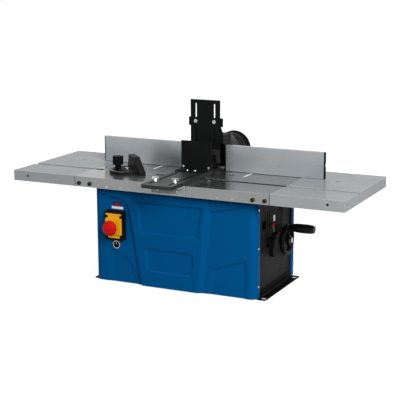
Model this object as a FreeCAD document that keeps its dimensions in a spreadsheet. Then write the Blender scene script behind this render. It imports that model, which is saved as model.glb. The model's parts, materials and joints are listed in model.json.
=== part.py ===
import FreeCAD, Part
import math
import os
from types import SimpleNamespace

import Sketcher

# Bench spindle moulder, in millimetres.
# +X to the crank side, +Y to the back, +Z up; the bench is z = 0, the origin midway between the foot slots.

SIZES = {
    # Allowances
    "overrun": 2,
    "slide_gap": 0.3,
    "run_gap": 0.05,
    # Table and wings
    "table_height": 312,
    "table_length": 600,
    "table_depth": 360,
    "table_skirt": 30,
    "skirt_wall": 6,
    "table_plate": 8,
    "wing_length": 210,
    "joint_groove": 0.8,
    "mitre_slot_y": -65,
    "mitre_slot_width": 18,
    "mitre_slot_depth": 9,
    "slot_rib_wall": 6,
    "spindle_setback": 55,
    "ring_radius": 50,
    "ring_thickness": 5,
    "ring_lip": 8,
    "ring_bore_radius": 22,
    "fence_slot_x": 145,
    "fence_slot_width": 9,
    "fence_slot_ahead": 92,
    "fence_slot_behind": 36,
    "guide_hole_x": 104,
    "guide_hole_y": 17,
    "guide_hole_radius": 9,
    "wing_hole_x": 162,
    "wing_hole_radius": 4,
    "wing_hole_drop": 14,
    "wing_end_hole_inset": 15,
    # Table fasteners
    "bolt_head_radius": 6,
    "bolt_head_height": 4,
    "bolt_radius": 3.5,
    "bolt_length": 14,
    "skirt_bolt_inset": 13,
    "skirt_bolt_pitch": 35,
    "skirt_bolt_drop": 20,
    "wing_bolt_inset": 50,
    "screw_head_radius": 4,
    "screw_head_height": 2.2,
    "screw_radius": 2,
    "screw_length": 8,
    "skirt_screw_inset": 55,
    "skirt_screw_pitch": 45,
    "skirt_screw_drop": 23.5,
    # Case
    "case_side_inset": 50,
    "case_left_step": 6,
    "case_front_inset": 30,
    "case_low": 4,
    "case_top_clearance": 9,
    "cover_wall": 4,
    "cover_corner_radius": 20,
    "cover_return": 30,
    "back_cover_return": 35,
    "relief_height": 7,
    "pocket_depth": 4,
    "step_depth": 2.8,
    "brow_height": 3.4,
    "cover_screw_inset": 20,
    "cover_screw_low": 37,
    "cover_screw_middle": 145,
    "cover_screw_drop": 59,
    "panel_thickness": 2.5,
    "panel_setback": 10,
    "vent_width": 5,
    "vent_pitch": 14.5,
    "front_vent_ahead": 109,
    "front_vent_low": 175,
    "front_vent_high": 236,
    "back_vent_ahead": 14,
    "back_vent_low": 185,
    "back_vent_high": 236,
    "window_setback": 68,
    "window_z": 200,
    "window_width": 30,
    "window_height": 24,
    "back_face_vent_width": 8,
    "back_face_vent_pitch": 20,
    "back_face_vent_low": 150,
    "back_face_vent_high": 230,
    "base_thickness": 3,
    "foot_thickness": 2,
    "foot_width": 26,
    "foot_height": 22,
    "foot_end_setback": 18,
    "foot_slot_out": 11,
    "foot_slot_inset": 17,
    "foot_slot_length": 16,
    "foot_slot_width": 11,
    "foot_corner_radius": 7,
    "gland_inset": 100,
    "gland_z": 60,
    "gland_radius": 10,
    "gland_bore_radius": 4.5,
    "gland_length": 18,
    # Lift
    "column_x": 80,
    "column_radius": 10,
    "carriage_low": 140,
    "carriage_high": 195,
    "carriage_wing_x": 105,
    "carriage_wing_depth": 46,
    "carriage_ring_wall": 5,
    "crank_ahead": 45,
    "crank_z": 131,
    "crank_shaft_radius": 6,
    "gear_module": 1.5,
    "gear_backlash": 0.5,
    "pinion_x": 66,
    "pinion_width": 16,
    "rack_length": 100,
    "bracket_x": 50,
    "bracket_thickness": 6,
    "bracket_width": 30,
    "bush_wall": 3,
    "bush_flange": 3,
    "bush_flange_height": 2,
    "arm_setback": 28,
    "arm_thickness": 4,
    "arm_low": 160,
    "arm_bar_behind": 5,
    "arm_bar_thickness": 6,
    "arm_tab_ahead": 23,
    "arm_tab_behind": 27,
    "arm_tab_low": 98,
    "lift_travel": 20,
    "pointer_ahead": 50,
    "pointer_z": 191,
    "pointer_height": 8,
    "pointer_stem_width": 4,
    "pointer_reach": 40,
    "pointer_stand": 4,
    "pointer_thickness": 3,
    "scale_z": 188,
    "scale_width": 13,
    "scale_length": 53,
    "scale_thickness": 0.8,
    "wheel_stand": 12,
    "wheel_radius": 45,
    "wheel_rim_radius": 7,
    "wheel_hub_radius": 13,
    "wheel_hub_length": 20,
    "wheel_spoke_radius": 5.5,
    "wheel_nut_radius": 8,
    "wheel_nut_height": 6,
    "grip_across": 12,
    "grip_rise": 34,
    "grip_length": 71,
    "grip_bolt_length": 52,
    "grip_root_radius": 9,
    "grip_belly_radius": 13.4,
    "grip_bolt_radius": 3.5,
    "lock_shift": 5.5,
    "lock_z": 145,
    "lock_screw_radius": 5,
    "lock_nut_radius": 9,
    "lock_nut_height": 7,
    "lock_stand": 6,
    "lock_thickness": 14,
    "lock_hub_radius": 15,
    "lock_arm_length": 28,
    "lock_arm_width": 30,
    "lock_arm_lean": 16,
    "lock_lobe_length": 37,
    "lock_lobe_lean": -6,
    "lock_lobe_width": 36,
    # Motor
    "motor_low": 60,
    "motor_high": 200,
    "motor_radius": 44,
    "motor_wall": 6,
    "motor_neck_radius": 30,
    "motor_neck_height": 26,
    "motor_floor": 4,
    "bearing_radius": 15,
    "bearing_height": 12,
    "journal_radius": 8,
    "rotor_radius": 30,
    "rotor_clearance": 8,
    "fan_radius": 35,
    "fan_height": 14,
    "nose_radius": 12.5,
    "spindle_rise": 32,
    "collet_radius": 8,
    "collet_bore_radius": 6,
    "collet_length": 30,
    "nut_wall": 3.4,
    "nut_height": 20,
    "nut_lip": 4,
    # Controls
    "switch_side_share": -0.732,
    "switch_height": 86,
    "switch_drop": 95,
    "switch_half_width": 31,
    "switch_depth": 12,
    "switch_corner_radius": 5,
    "flap_half_width": 25,
    "flap_tab_half_width": 18,
    "flap_margin": 7,
    "flap_block_rise": 10,
    "flap_block_drop": 10,
    "flap_block_height": 5,
    "flap_block_draft": 1.5,
    "flap_thickness": 4,
    "flap_hinge_drop": 11,
    "flap_hinge_stand": 4,
    "flap_knuckle_radius": 3,
    "hinge_pin_radius": 1.5,
    "hinge_pin_length": 5,
    "hinge_lug_width": 3.5,
    "stop_rise": 40.5,
    "stop_radius": 22,
    "stop_height": 15,
    "stop_stem_radius": 9,
    "stop_stem_height": 13,
    "start_rise": 21,
    "start_radius": 6.5,
    "start_depth": 9,
    "start_proud": 1.2,
    "reset_shift": 5,
    "reset_rise": 17,
    "reset_width": 16,
    "reset_height": 6,
    "reset_proud": 3,
    "reset_tail": 7,
    "dial_shift": 1,
    "dial_drop": 15,
    "bezel_radius": 12.5,
    "bezel_wall": 2.6,
    "bezel_height": 5,
    "dial_height": 5.5,
    "board_half_width": 30,
    "board_below": 35,
    "board_above": 29,
    "board_thickness": 3,
    "board_stand": 9,
    "board_post_radius": 3,
    # Fence, hood and guard
    "fence_ahead": 33,
    "fence_thickness": 12,
    "fence_height": 76,
    "fence_length": 300,
    "fence_left_gap": 40,
    "fence_right_x": 64,
    "fence_lift": 1,
    "tee_slot_width": 9,
    "tee_slot_depth": 4,
    "tee_chamber_width": 17,
    "tee_chamber_depth": 4,
    "tee_bolt_radius": 4,
    "tee_head": 14,
    "tee_nut_radius": 7,
    "tee_nut_height": 6,
    "tee_near_x": 85,
    "tee_far_x": 185,
    "carrier_half_length": 205,
    "carrier_thickness": 3,
    "carrier_wall_height": 70,
    "carrier_depth": 84,
    "carrier_opening_margin": 6,
    "carrier_opening_depth": 70,
    "clamp_behind": 5,
    "clamp_bolt_radius": 4,
    "clamp_head": 18,
    "clamp_head_height": 5,
    "knob_radius": 15,
    "knob_lobe_radius": 5,
    "knob_height": 20,
    "knob_neck_radius": 8,
    "knob_neck_height": 8,
    "hood_left": 47,
    "hood_right": 56,
    "hood_rise": 105,
    "hood_behind": 20,
    "hood_wall": 2,
    "outlet_half_width": 22,
    "outlet_rise": 60,
    "hood_neck_half_width": 48,
    "hood_neck_rise": 129,
    "bar_half_width": 54.5,
    "bar_rise": 154,
    "bar_thickness": 3,
    "duct_length": 92,
    "port_length": 61,
    "port_rise": 33,
    "port_radius": 50,
    "port_wall": 3,
    "port_rim": 4,
    "port_rim_width": 7,
    "guard_half_width": 47,
    "guard_rise": 62,
    "guard_height": 144,
    "guard_thickness": 3,
    "guard_slot_x": 29.5,
    "guard_slot_width": 4.8,
    "guard_slot_margin": 17,
    "guard_slot_end": 11,
    "guard_screw_drop": 11,
    "guard_screw_head_radius": 6,
    "guard_screw_head_height": 3.5,
    # Pressure shoe
    "shoe_half_width": 48,
    "shoe_front_stand": 74,
    "shoe_plate_rise": 94,
    "shoe_metal": 3,
    "shoe_arm_rise": 7,
    "shoe_slot_x": 30,
    "shoe_slot_width": 7,
    "shoe_slot_end": 19,
    "shoe_slot_back": 60,
    "shoe_corner_radius": 9,
    "shoe_foot_depth": 45,
    "shoe_bolt_outer_x": 40,
    "shoe_bolt_inner_x": 12,
    "shoe_bolt_rise": 7.5,
    "shoe_bolt_back": 36,
    "shoe_bracket_half_width": 52,
    "shoe_bracket_leg": 26,
    "shoe_bracket_reach": 34,
    "bracket_screw_drop": 16,
    "shoe_bolt_stand": 16,
    "shoe_boss_radius": 9,
    "wing_stud_radius": 3,
    "wing_hub_radius": 5.5,
    "wing_hub_height": 8,
    "wing_span": 20,
    "wing_rise": 12,
    "wing_thickness": 3,
    # Mitre gauge
    "mitre_x": -193,
    "mitre_bar_behind": 79,
    "mitre_bar_ahead": 94,
    "mitre_angle": 45,
    "mitre_swing": 60,
    "mitre_disc_radius": 52,
    "mitre_disc_thickness": 8,
    "mitre_face_offset": 35,
    "mitre_face_thickness": 18,
    "mitre_face_front": 70,
    "mitre_face_back": 56,
    "mitre_face_top_front": 8,
    "mitre_face_top_back": 44,
    "mitre_face_height": 43,
    "mitre_stud_reach": 30.5,
    "mitre_stud_radius": 4,
    "mitre_pivot_radius": 4,
    "mitre_pivot_head_radius": 7,
    "mitre_pivot_head_height": 4,
    "mitre_collar_radius": 9,
    "mitre_knob_low": 19.5,
    "mitre_knob_height": 25,
    "mitre_knob_radius": 12,
    "mitre_knob_lobe_radius": 4,
}
# Places and lengths that follow other sizes, as formulas of the sheet
TIED_SIZES = {
    "case_half_width": "table_length / 2 - case_side_inset",
    "case_left_width": "case_half_width + case_left_step",
    "case_half_depth": "table_depth / 2 - case_front_inset",
    "spindle_y": "case_half_depth - spindle_setback",
    "clamp_y": "spindle_y + clamp_behind",
    "fence_slot_front": "clamp_y - fence_slot_ahead",
    "fence_slot_back": "clamp_y + fence_slot_behind",
    "skirt_bolt_outer_x": "table_length / 2 - skirt_bolt_inset",
    "skirt_bolt_inner_x": "skirt_bolt_outer_x - skirt_bolt_pitch",
    "wing_bolt_y": "table_depth / 2 - wing_bolt_inset",
    "wing_end_hole_y": "table_depth / 2 - wing_end_hole_inset",
    "skirt_screw_outer_x": "case_half_width - skirt_screw_inset",
    "skirt_screw_inner_x": "skirt_screw_outer_x - skirt_screw_pitch",
    "cover_screw_high": "table_height - cover_screw_drop",
    "window_y": "window_setback - case_half_depth",
    "foot_half_length": "case_half_depth - foot_end_setback",
    "foot_slot_x": "case_half_width + foot_slot_out",
    "foot_slot_y": "foot_half_length - foot_slot_inset",
    "gland_x": "gland_inset - case_half_width",
    "crank_y": "spindle_y - crank_ahead",
    "front_vent_y": "crank_y - front_vent_ahead",
    "back_vent_y": "crank_y - back_vent_ahead",
    "arm_x": "case_half_width - arm_setback",
    "arm_bar_y": "spindle_y + arm_bar_behind",
    "lock_y": "(crank_y - wheel_radius + cover_return - case_half_depth) / 2 + lock_shift",
    "arm_front_y": "lock_y - arm_tab_ahead",
    "arm_tab_back_y": "lock_y + arm_tab_behind",
    "pointer_y": "crank_y - pointer_ahead",
    "wheel_x": "case_half_width + wheel_stand",
    "grip_y": "crank_y + grip_across",
    "grip_z": "crank_z + grip_rise",
    "lock_x": "case_half_width + lock_stand",
    "spindle_top": "table_height + spindle_rise",
    "switch_x": "switch_side_share * case_half_width",
    "switch_high": "table_height - switch_drop",
    "switch_low": "switch_high - switch_height",
    "flap_low": "switch_low + flap_margin",
    "flap_hinge_z": "switch_high - flap_hinge_drop",
    "flap_block_low": "flap_low + flap_block_rise",
    "flap_block_high": "flap_hinge_z - flap_block_drop",
    "stop_z": "switch_low + stop_rise",
    "start_z": "switch_low + start_rise",
    "reset_x": "switch_x + reset_shift",
    "reset_z": "switch_high + reset_rise",
    "dial_x": "switch_x + dial_shift",
    "dial_z": "switch_low - dial_drop",
    "board_low": "switch_low - board_below",
    "board_high": "switch_high + board_above",
    "fence_y": "spindle_y - fence_ahead",
    "fence_left_x": "0 - fence_left_gap - fence_length",
    "hood_top": "table_height + hood_rise",
    "hood_back": "spindle_y + hood_behind",
    "outlet_top": "table_height + outlet_rise",
    "hood_neck_z": "table_height + hood_neck_rise",
    "bar_top": "table_height + bar_rise",
    "port_y": "hood_back + duct_length",
    "port_end": "port_y + port_length",
    "port_z": "table_height + port_rise",
    "guard_low": "table_height + guard_rise",
    "guard_high": "guard_low + guard_height",
    "guard_slot_low": "guard_low + guard_slot_margin",
    "guard_slot_high": "guard_high - guard_slot_end",
    "guard_screw_z": "bar_top - guard_screw_drop",
    "shoe_front": "table_depth / 2 + shoe_front_stand",
    "shoe_slot_front": "shoe_front - shoe_slot_end",
    "shoe_bolt_y": "0 - table_depth / 2 - shoe_bolt_stand",
    "shoe_plate_top": "table_height + shoe_plate_rise",
    "mitre_bar_left": "mitre_x - mitre_bar_behind",
    "mitre_bar_right": "mitre_x + mitre_bar_ahead",
}

# Outlines of the front cover's relief as shares of the half width and of the case height
RAISED_SHARES = [(-0.905, 1.0), (-0.905, 0.87), (-0.64, 0.825), (-0.575, 0.785), (-0.545, 0.72),
                 (-0.478, 0.395), (-0.40, 0.0), (0.298, 0.0), (0.405, 0.84), (0.425, 1.0)]
RAISED_FOOT_SHARES = [(-0.915, 1.0), (-0.915, 0.855), (-0.645, 0.81), (-0.585, 0.77), (-0.56, 0.715),
                      (-0.493, 0.39), (-0.415, 0.0), (0.36, 0.0), (0.484, 0.84), (0.506, 1.0)]
UPPER_POCKET_SHARES = [(-0.451, 0.817), (0.366, 0.821), (0.316, 0.517), (-0.408, 0.519)]
UPPER_FLOOR_SHARES = [(-0.437, 0.805), (0.352, 0.809), (0.304, 0.529), (-0.394, 0.531)]
LOWER_POCKET_SHARES = [(-0.355, 0.371), (0.263, 0.370), (0.234, 0.144), (-0.328, 0.148)]
LOWER_FLOOR_SHARES = [(-0.341, 0.359), (0.249, 0.358), (0.222, 0.156), (-0.314, 0.160)]
# Shallow steps beside the relief: at the cover's face, then at their own level where they fade out
BROW_SHARES = [(0.42, 0.774), (0.70, 0.823), (0.90, 0.8685), (0.90, 1.0), (0.445, 1.0)]
BROW_LEVEL_SHARES = [(0.42, 0.787), (0.70, 0.836), (0.865, 0.8735), (0.865, 1.0), (0.445, 1.0)]
SIDE_DIP_SHARES = [(0.478, 0.241), (0.695, 0.310), (0.90, 0.366), (0.90, -0.02), (0.38, -0.02)]
SIDE_DIP_LEVEL_SHARES = [(0.52, 0.242), (0.695, 0.298), (0.86, 0.343), (0.86, -0.02), (0.46, -0.02)]
SWITCH_DIP_SHARES = [(-0.86, 0.345), (-0.612, 0.258), (-0.545, 0.20), (-0.455, -0.02), (-0.86, -0.02)]
SWITCH_DIP_LEVEL_SHARES = [(-0.78, 0.306), (-0.615, 0.248), (-0.553, 0.196), (-0.464, -0.02), (-0.78, -0.02)]
# Lock lever's leaf: along its length and across its width
LEAF_SHARES = [(0.0, -0.36), (0.45, -0.5), (0.8, -0.42), (1.0, -0.12), (1.0, 0.12), (0.8, 0.42), (0.45, 0.5),
               (0.0, 0.36)]
# Grip profile: along its length, then radius between root and belly
GRIP_SHARES = [(0.0, 0.25), (0.06, 0.35), (0.18, 0.75), (0.38, 1.0), (0.7, 1.0), (0.9, 0.8), (1.0, 0.3)]
# Stop button dome: out from the stem, then across the radius
DOME_SHARES = [(0.0, 0.94), (0.25, 1.0), (0.6, 0.93), (0.87, 0.66), (1.0, 0.25)]
# Teeth
PINION_TEETH = 14
PRESSURE_ANGLE = 20
ADDENDUM_SHARE = 0.85
DEDENDUM_SHARE = 1.3
FLANK_STEPS = 4
# Counts
SPOKES = 3
KNOB_LOBES = 6
MITRE_KNOB_LOBES = 8
HEX_SIDES = 6
SIDE_VENTS = 3
BACK_VENTS = 9

doc = FreeCAD.newDocument("SpindleMoulder")
sheet = doc.addObject("Spreadsheet::Sheet", "Sizes")
cells = {alias: f"B{row}" for row, alias in enumerate([*SIZES, *TIED_SIZES], 1)}
for alias, cell in cells.items():
    sheet.set(cell.replace("B", "A"), alias)
    sheet.setAlias(cell, alias)
for alias, number in SIZES.items():
    sheet.set(cells[alias], str(number))
for alias, formula in TIED_SIZES.items():
    sheet.set(cells[alias], f"={formula}")
doc.recompute()


class Size:
    """A cell of the sheet or a sum of cells: its number, and the text that binds a property to it."""

    def __init__(self, value, text):
        self.value = float(value)
        self.text = text

    def __add__(self, other):
        other = size(other)
        return Size(self.value + other.value, f"({self.text} + {other.text})")

    def __sub__(self, other):
        other = size(other)
        return Size(self.value - other.value, f"({self.text} - {other.text})")

    def __mul__(self, other):
        other = size(other)
        return Size(self.value * other.value, f"({self.text} * {other.text})")

    def __truediv__(self, other):
        other = size(other)
        return Size(self.value / other.value, f"({self.text} / {other.text})")

    def __radd__(self, other):
        return size(other) + self

    def __rsub__(self, other):
        return size(other) - self

    def __rmul__(self, other):
        return size(other) * self

    def __neg__(self):
        return size(0) - self


def size(value):
    return value if isinstance(value, Size) else Size(value, repr(value))


S = SimpleNamespace(**{alias: Size(sheet.get(alias), f"Sizes.{alias}") for alias in cells})

# Helpers that make document objects bound to the sheet

NODES = []
PLANE_ROLES = {"X": "YZ_Plane", "Y": "XZ_Plane", "Z": "XY_Plane"}
TURNS = {
    "X": FreeCAD.Rotation(FreeCAD.Vector(0, 1, 0), 90),
    "Y": FreeCAD.Rotation(FreeCAD.Vector(1, 0, 0), -90),
    "Z": FreeCAD.Rotation(),
}


def bind(thing, prop, value):
    thing.setExpression(prop, size(value).text)


def place(thing, x, y, z):
    for axis, value in zip("xyz", (x, y, z)):
        bind(thing, f"Placement.Base.{axis}", value)


def spot(axis, along, across):
    """Row-frame point from a place along an axis and the two places across it, in X, Y, Z order."""
    first, second = across
    return {"X": (along, first, second), "Y": (first, along, second), "Z": (first, second, along)}[axis]


def node(label, thing):
    thing.Label = label
    NODES.append(thing)
    return thing


def box(name, x, y, z):
    solid = doc.addObject("Part::Box", name)
    for prop, (low, high) in zip(("Length", "Width", "Height"), (x, y, z)):
        bind(solid, prop, size(high) - low)
    place(solid, x[0], y[0], z[0])
    return solid


def cylinder(name, radius, axis, along, centre):
    solid = doc.addObject("Part::Cylinder", name)
    bind(solid, "Radius", radius)
    bind(solid, "Height", size(along[1]) - along[0])
    solid.Placement.Rotation = TURNS[axis]
    place(solid, *spot(axis, along[0], centre))
    return solid


def cone(name, radii, axis, along, centre):
    solid = doc.addObject("Part::Cone", name)
    bind(solid, "Radius1", radii[0])
    bind(solid, "Radius2", radii[1])
    bind(solid, "Height", size(along[1]) - along[0])
    solid.Placement.Rotation = TURNS[axis]
    place(solid, *spot(axis, along[0], centre))
    return solid


def prism(name, sides, radius, axis, along, centre):
    solid = doc.addObject("Part::Prism", name)
    solid.Polygon = sides
    bind(solid, "Circumradius", radius)
    bind(solid, "Height", size(along[1]) - along[0])
    solid.Placement.Rotation = TURNS[axis]
    place(solid, *spot(axis, along[0], centre))
    return solid


def fuse(name, solids):
    whole = doc.addObject("Part::MultiFuse", name)
    whole.Shapes = solids
    whole.Refine = True
    return whole


def overlap(name, first, second):
    shared = doc.addObject("Part::Common", name)
    shared.Base = first
    shared.Tool = second
    shared.Refine = True
    return shared


def cut(name, base, tools):
    rest = doc.addObject("Part::Cut", name)
    rest.Base = base
    rest.Tool = tools[0] if len(tools) == 1 else fuse(name + "_tools", tools)
    rest.Refine = True
    return rest


def group(name, solids):
    together = doc.addObject("Part::Compound", name)
    together.Links = solids
    return together


def sketch(body, axis, offset, points):
    """A closed outline across an axis, every corner bound to the sheet."""
    drawing = body.newObject("Sketcher::SketchObject", body.Name + "_sketch")
    planes = [plane for plane in body.Origin.OriginFeatures if plane.Role == PLANE_ROLES[axis]]
    drawing.AttachmentSupport = (planes[0], [""])
    drawing.MapMode = "FlatFace"
    bind(drawing, "AttachmentOffset.Base.z", offset)
    corners = [FreeCAD.Vector(size(u).value, size(v).value, 0) for u, v in points]
    count = len(corners)
    for index in range(count):
        drawing.addGeometry(Part.LineSegment(corners[index], corners[(index + 1) % count]))
    for index in range(count):
        drawing.addConstraint(Sketcher.Constraint("Coincident", index, 2, (index + 1) % count, 1))
        for kind, value in zip(("DistanceX", "DistanceY"), points[index]):
            number = drawing.addConstraint(Sketcher.Constraint(kind, -1, 1, index, 1, size(value).value))
            bind(drawing, f"Constraints[{number}]", value)
    return drawing


def new_body(name):
    return doc.addObject("PartDesign::Body", name)


def extrude(name, axis, points, start, end, body=None):
    """Pad an outline across an axis from one place along it to the other."""
    body = body or new_body(name)
    offset = -size(end) if axis == "Y" else start
    pad = body.newObject("PartDesign::Pad", name + "_pad")
    pad.Profile = sketch(body, axis, offset, points)
    bind(pad, "Length", size(end) - start)
    doc.recompute()
    return body


def pocket(body, axis, points, start, end):
    """Cut an outline out of a body from one place along an axis to the other."""
    before = body.Shape.Volume
    offset = -size(start) if axis == "Y" else end
    hole = body.newObject("PartDesign::Pocket", body.Name + "_pocket")
    hole.Profile = sketch(body, axis, offset, points)
    bind(hole, "Length", size(end) - start)
    doc.recompute()
    if body.Shape.Volume >= before:
        raise ValueError(f"a pocket of {body.Name} removes nothing")


def loft(body, kind, axis, outlines):
    """Add or subtract a ruled loft between two outlines, each with its place along the axis."""
    sign = -1 if axis == "Y" else 1
    sketches = [sketch(body, axis, sign * size(along), points) for along, points in outlines]
    blend = body.newObject(f"PartDesign::{kind}Loft", body.Name + "_loft")
    blend.Profile = sketches[0]
    blend.Sections = sketches[1:]
    blend.Ruled = True
    doc.recompute()


def revolve(name, axis, points, centre):
    """Turn a half section, given as (place along the axis, radius), about the axis."""
    body = new_body(name)
    section = points if axis != "Z" else [(radius, along) for along, radius in points]
    drawing = sketch(body, {"X": "Y", "Y": "X", "Z": "Y"}[axis], 0, section)
    turned = body.newObject("PartDesign::Revolution", name + "_turned")
    turned.Profile = drawing
    turned.ReferenceAxis = (drawing, ["V_Axis" if axis == "Z" else "H_Axis"])
    turned.Angle = 360
    place(body, *spot(axis, 0, centre))
    doc.recompute()
    return body


def round_edges(body, radius, chosen):
    edges = [f"Edge{index}" for index, edge in enumerate(body.Shape.Edges, 1) if chosen(edge)]
    tip = body.Tip
    rounding = body.newObject("PartDesign::Fillet", body.Name + "_rounding")
    rounding.Base = (tip, edges)
    bind(rounding, "Radius", radius)
    doc.recompute()


def runs_along(edge, axis):
    direction = edge.tangentAt(edge.FirstParameter)
    return abs(getattr(direction, axis.lower())) > math.cos(math.radians(1))


def sided(axis, sign, seat, length):
    """Low and high end of a stretch that leaves a seat towards one side."""
    return (seat, seat + length) if sign > 0 else (seat - length, seat)


def bolt(name, axis, sign, seat, centre, head, shank):
    """A headed fastener: the head stands on the seat towards sign, the shank goes the other way."""
    top = cylinder(name + "_head", head[0], axis, sided(axis, sign, seat, head[1]), centre)
    stem = cylinder(name + "_shank", shank[0], axis, sided(axis, -sign, seat, shank[1]), centre)
    return fuse(name, [top, stem])


def bolt_hole(name, axis, sign, seat, centre, shank):
    low, high = sided(axis, -sign, seat, shank[1])
    return cylinder(name, shank[0] + S.run_gap, axis, (low - S.overrun, high + S.overrun), centre)


def rectangle(u, v):
    return [(u[0], v[0]), (u[1], v[0]), (u[1], v[1]), (u[0], v[1])]


def lobed_knob(name, radius, lobe_radius, lobes, z, centre, bore_radius):
    """A round knob about Z with round lobes on its rim and a bore for its stud."""
    solids = [cylinder(name + "_core", radius, "Z", z, centre)]
    for index in range(lobes):
        angle = 2 * math.pi * index / lobes
        where = (centre[0] + radius * math.cos(angle), centre[1] + radius * math.sin(angle))
        solids.append(cylinder(f"{name}_lobe{index}", lobe_radius, "Z", z, where))
    bore = cylinder(name + "_bore", bore_radius, "Z", (z[0] - S.overrun, z[1] - lobe_radius), centre)
    return cut(name, fuse(name + "_whole", solids), [bore])


# Levels and planes that several pieces share
top = S.table_height
skirt_low = top - S.table_skirt
plate_low = top - S.table_plate
half_length = S.table_length / 2
half_depth = S.table_depth / 2
slot_low = top - S.mitre_slot_depth
slot_front = S.mitre_slot_y - S.mitre_slot_width / 2
slot_back = S.mitre_slot_y + S.mitre_slot_width / 2
spindle = (0, S.spindle_y)
case_top = top - S.case_top_clearance
cover_inner_x = S.case_half_width - S.cover_wall
panel_inner_x = cover_inner_x - S.panel_thickness
left_cover_inner_x = S.cover_wall - S.case_left_width
left_panel_inner_x = left_cover_inner_x + S.panel_thickness
front_face = -S.case_half_depth
MIRRORED = (-1, 1)

# Table

bolt_head = (S.bolt_head_radius, S.bolt_head_height)
bolt_shank = (S.bolt_radius, S.bolt_length)
screw_head = (S.screw_head_radius, S.screw_head_height)
screw_shank = (S.screw_radius, S.screw_length)


def skirted_plate(label, x, cutters):
    """A table plate with a skirt all round and the mitre slot in a rib along X."""
    low, high = x
    block = box(label + "_block", x, (-half_depth, half_depth), (skirt_low, top))
    hollow = box(
        label + "_hollow",
        (low + S.skirt_wall, high - S.skirt_wall),
        (S.skirt_wall - half_depth, half_depth - S.skirt_wall),
        (skirt_low - S.overrun, plate_low),
    )
    rib = box(label + "_rib", x, (slot_front - S.slot_rib_wall, slot_back + S.slot_rib_wall),
              (slot_low - S.slot_rib_wall, plate_low))
    slot = box(label + "_slot", (low - S.overrun, high + S.overrun), (slot_front, slot_back),
               (slot_low, top + S.overrun))
    ribbed = fuse(label + "_ribbed", [cut(label + "_shell", block, [hollow]), rib])
    return node(label, cut(label, ribbed, [slot] + cutters))


def skirt_fasteners():
    """Bolts and screws of the front skirt, with their holes."""
    solids, holes = {"bolt": [], "screw": []}, []
    rows = [
        ("bolt", (S.skirt_bolt_outer_x, S.skirt_bolt_inner_x), S.skirt_bolt_drop, bolt_head, bolt_shank),
        ("screw", (S.skirt_screw_outer_x, S.skirt_screw_inner_x), S.skirt_screw_drop, screw_head,
         screw_shank),
    ]
    for kind, places, drop, head, shank in rows:
        for x in places:
            for side in MIRRORED:
                name = f"skirt_{kind}{len(holes)}"
                centre = (side * x, top - drop)
                solids[kind].append(bolt(name, "Y", -1, -half_depth, centre, head, shank))
                holes.append(bolt_hole(name + "_hole", "Y", -1, -half_depth, centre, shank))
    return solids, holes


skirt_solids, skirt_holes = skirt_fasteners()
wing_joints = {-1: [], 1: []}
wing_bolt_solids = []
wing_bolt_z = top - S.skirt_bolt_drop
for side in MIRRORED:
    for y_side in MIRRORED:
        name = f"wing_bolt{len(wing_bolt_solids)}"
        centre = (y_side * S.wing_bolt_y, wing_bolt_z)
        seat = side * (half_length - S.skirt_wall)
        shank = (S.bolt_radius, 2 * S.skirt_wall)
        wing_bolt_solids.append(bolt(name, "X", -side, seat, centre, bolt_head, shank))
        wing_joints[side].append(bolt_hole(name + "_hole", "X", -side, seat, centre, shank))

opening_low = plate_low - S.overrun
ring_seat = cylinder("ring_seat", S.ring_radius, "Z", (top - S.ring_thickness, top + S.overrun), spindle)
cutter_opening = cylinder("cutter_opening", S.ring_radius - S.ring_lip, "Z", (opening_low, top), spindle)
guide_hole = cylinder("guide_hole", S.guide_hole_radius, "Z", (opening_low, top + S.overrun),
                      (S.guide_hole_x, S.guide_hole_y))
fence_slots = [
    box(f"fence_slot{side}", (side * S.fence_slot_x - S.fence_slot_width / 2,
                              side * S.fence_slot_x + S.fence_slot_width / 2),
        (S.fence_slot_front, S.fence_slot_back), (opening_low, top + S.overrun))
    for side in MIRRORED
]
bracket_screw_places = [(side * S.shoe_slot_x, top - S.bracket_screw_drop) for side in MIRRORED]
bracket_holes = [
    bolt_hole(f"table_bracket_hole{index}", "Y", -1, -half_depth, centre, screw_shank)
    for index, centre in enumerate(bracket_screw_places)
]
main_cutters = [ring_seat, cutter_opening, guide_hole] + fence_slots + skirt_holes + bracket_holes
skirted_plate("main_table", (-half_length, half_length), main_cutters + wing_joints[-1] + wing_joints[1])

wing_near = half_length
wing_far = wing_near + S.wing_length
for side, label in zip(MIRRORED, ("left_wing", "right_wing")):
    front_hole = cylinder(label + "_front_hole", S.wing_hole_radius, "Y",
                          (-half_depth - S.overrun, S.skirt_wall + S.overrun - half_depth),
                          (side * (half_length + S.wing_hole_x), top - S.wing_hole_drop))
    end_span = (wing_far - S.skirt_wall - S.overrun, wing_far + S.overrun)
    end_span = end_span if side > 0 else (-end_span[1], -end_span[0])
    end_holes = [
        cylinder(f"{label}_end_hole{y_side}", S.wing_hole_radius, "X", end_span,
                 (y_side * S.wing_end_hole_y, top - S.wing_hole_drop))
        for y_side in MIRRORED
    ]
    reach = (wing_near, wing_far) if side > 0 else (-wing_far, -wing_near)
    joints = [
        bolt_hole(f"{label}_joint_hole{y_side}", "X", -side, side * (half_length - S.skirt_wall),
                  (y_side * S.wing_bolt_y, wing_bolt_z), (S.bolt_radius, 2 * S.skirt_wall))
        for y_side in MIRRORED
    ]
    groove_far = wing_near + S.joint_groove
    groove = (wing_near, groove_far) if side > 0 else (-groove_far, -wing_near)
    grooves = [
        box(label + "_top_groove", groove, (-half_depth, half_depth), (top - S.joint_groove, top)),
        box(label + "_front_groove", groove, (-half_depth, S.joint_groove - half_depth), (skirt_low, top)),
    ]
    skirted_plate(label, reach, [front_hole] + end_holes + joints + grooves)

node("table_bolts", group("table_bolts", skirt_solids["bolt"] + wing_bolt_solids))

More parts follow.
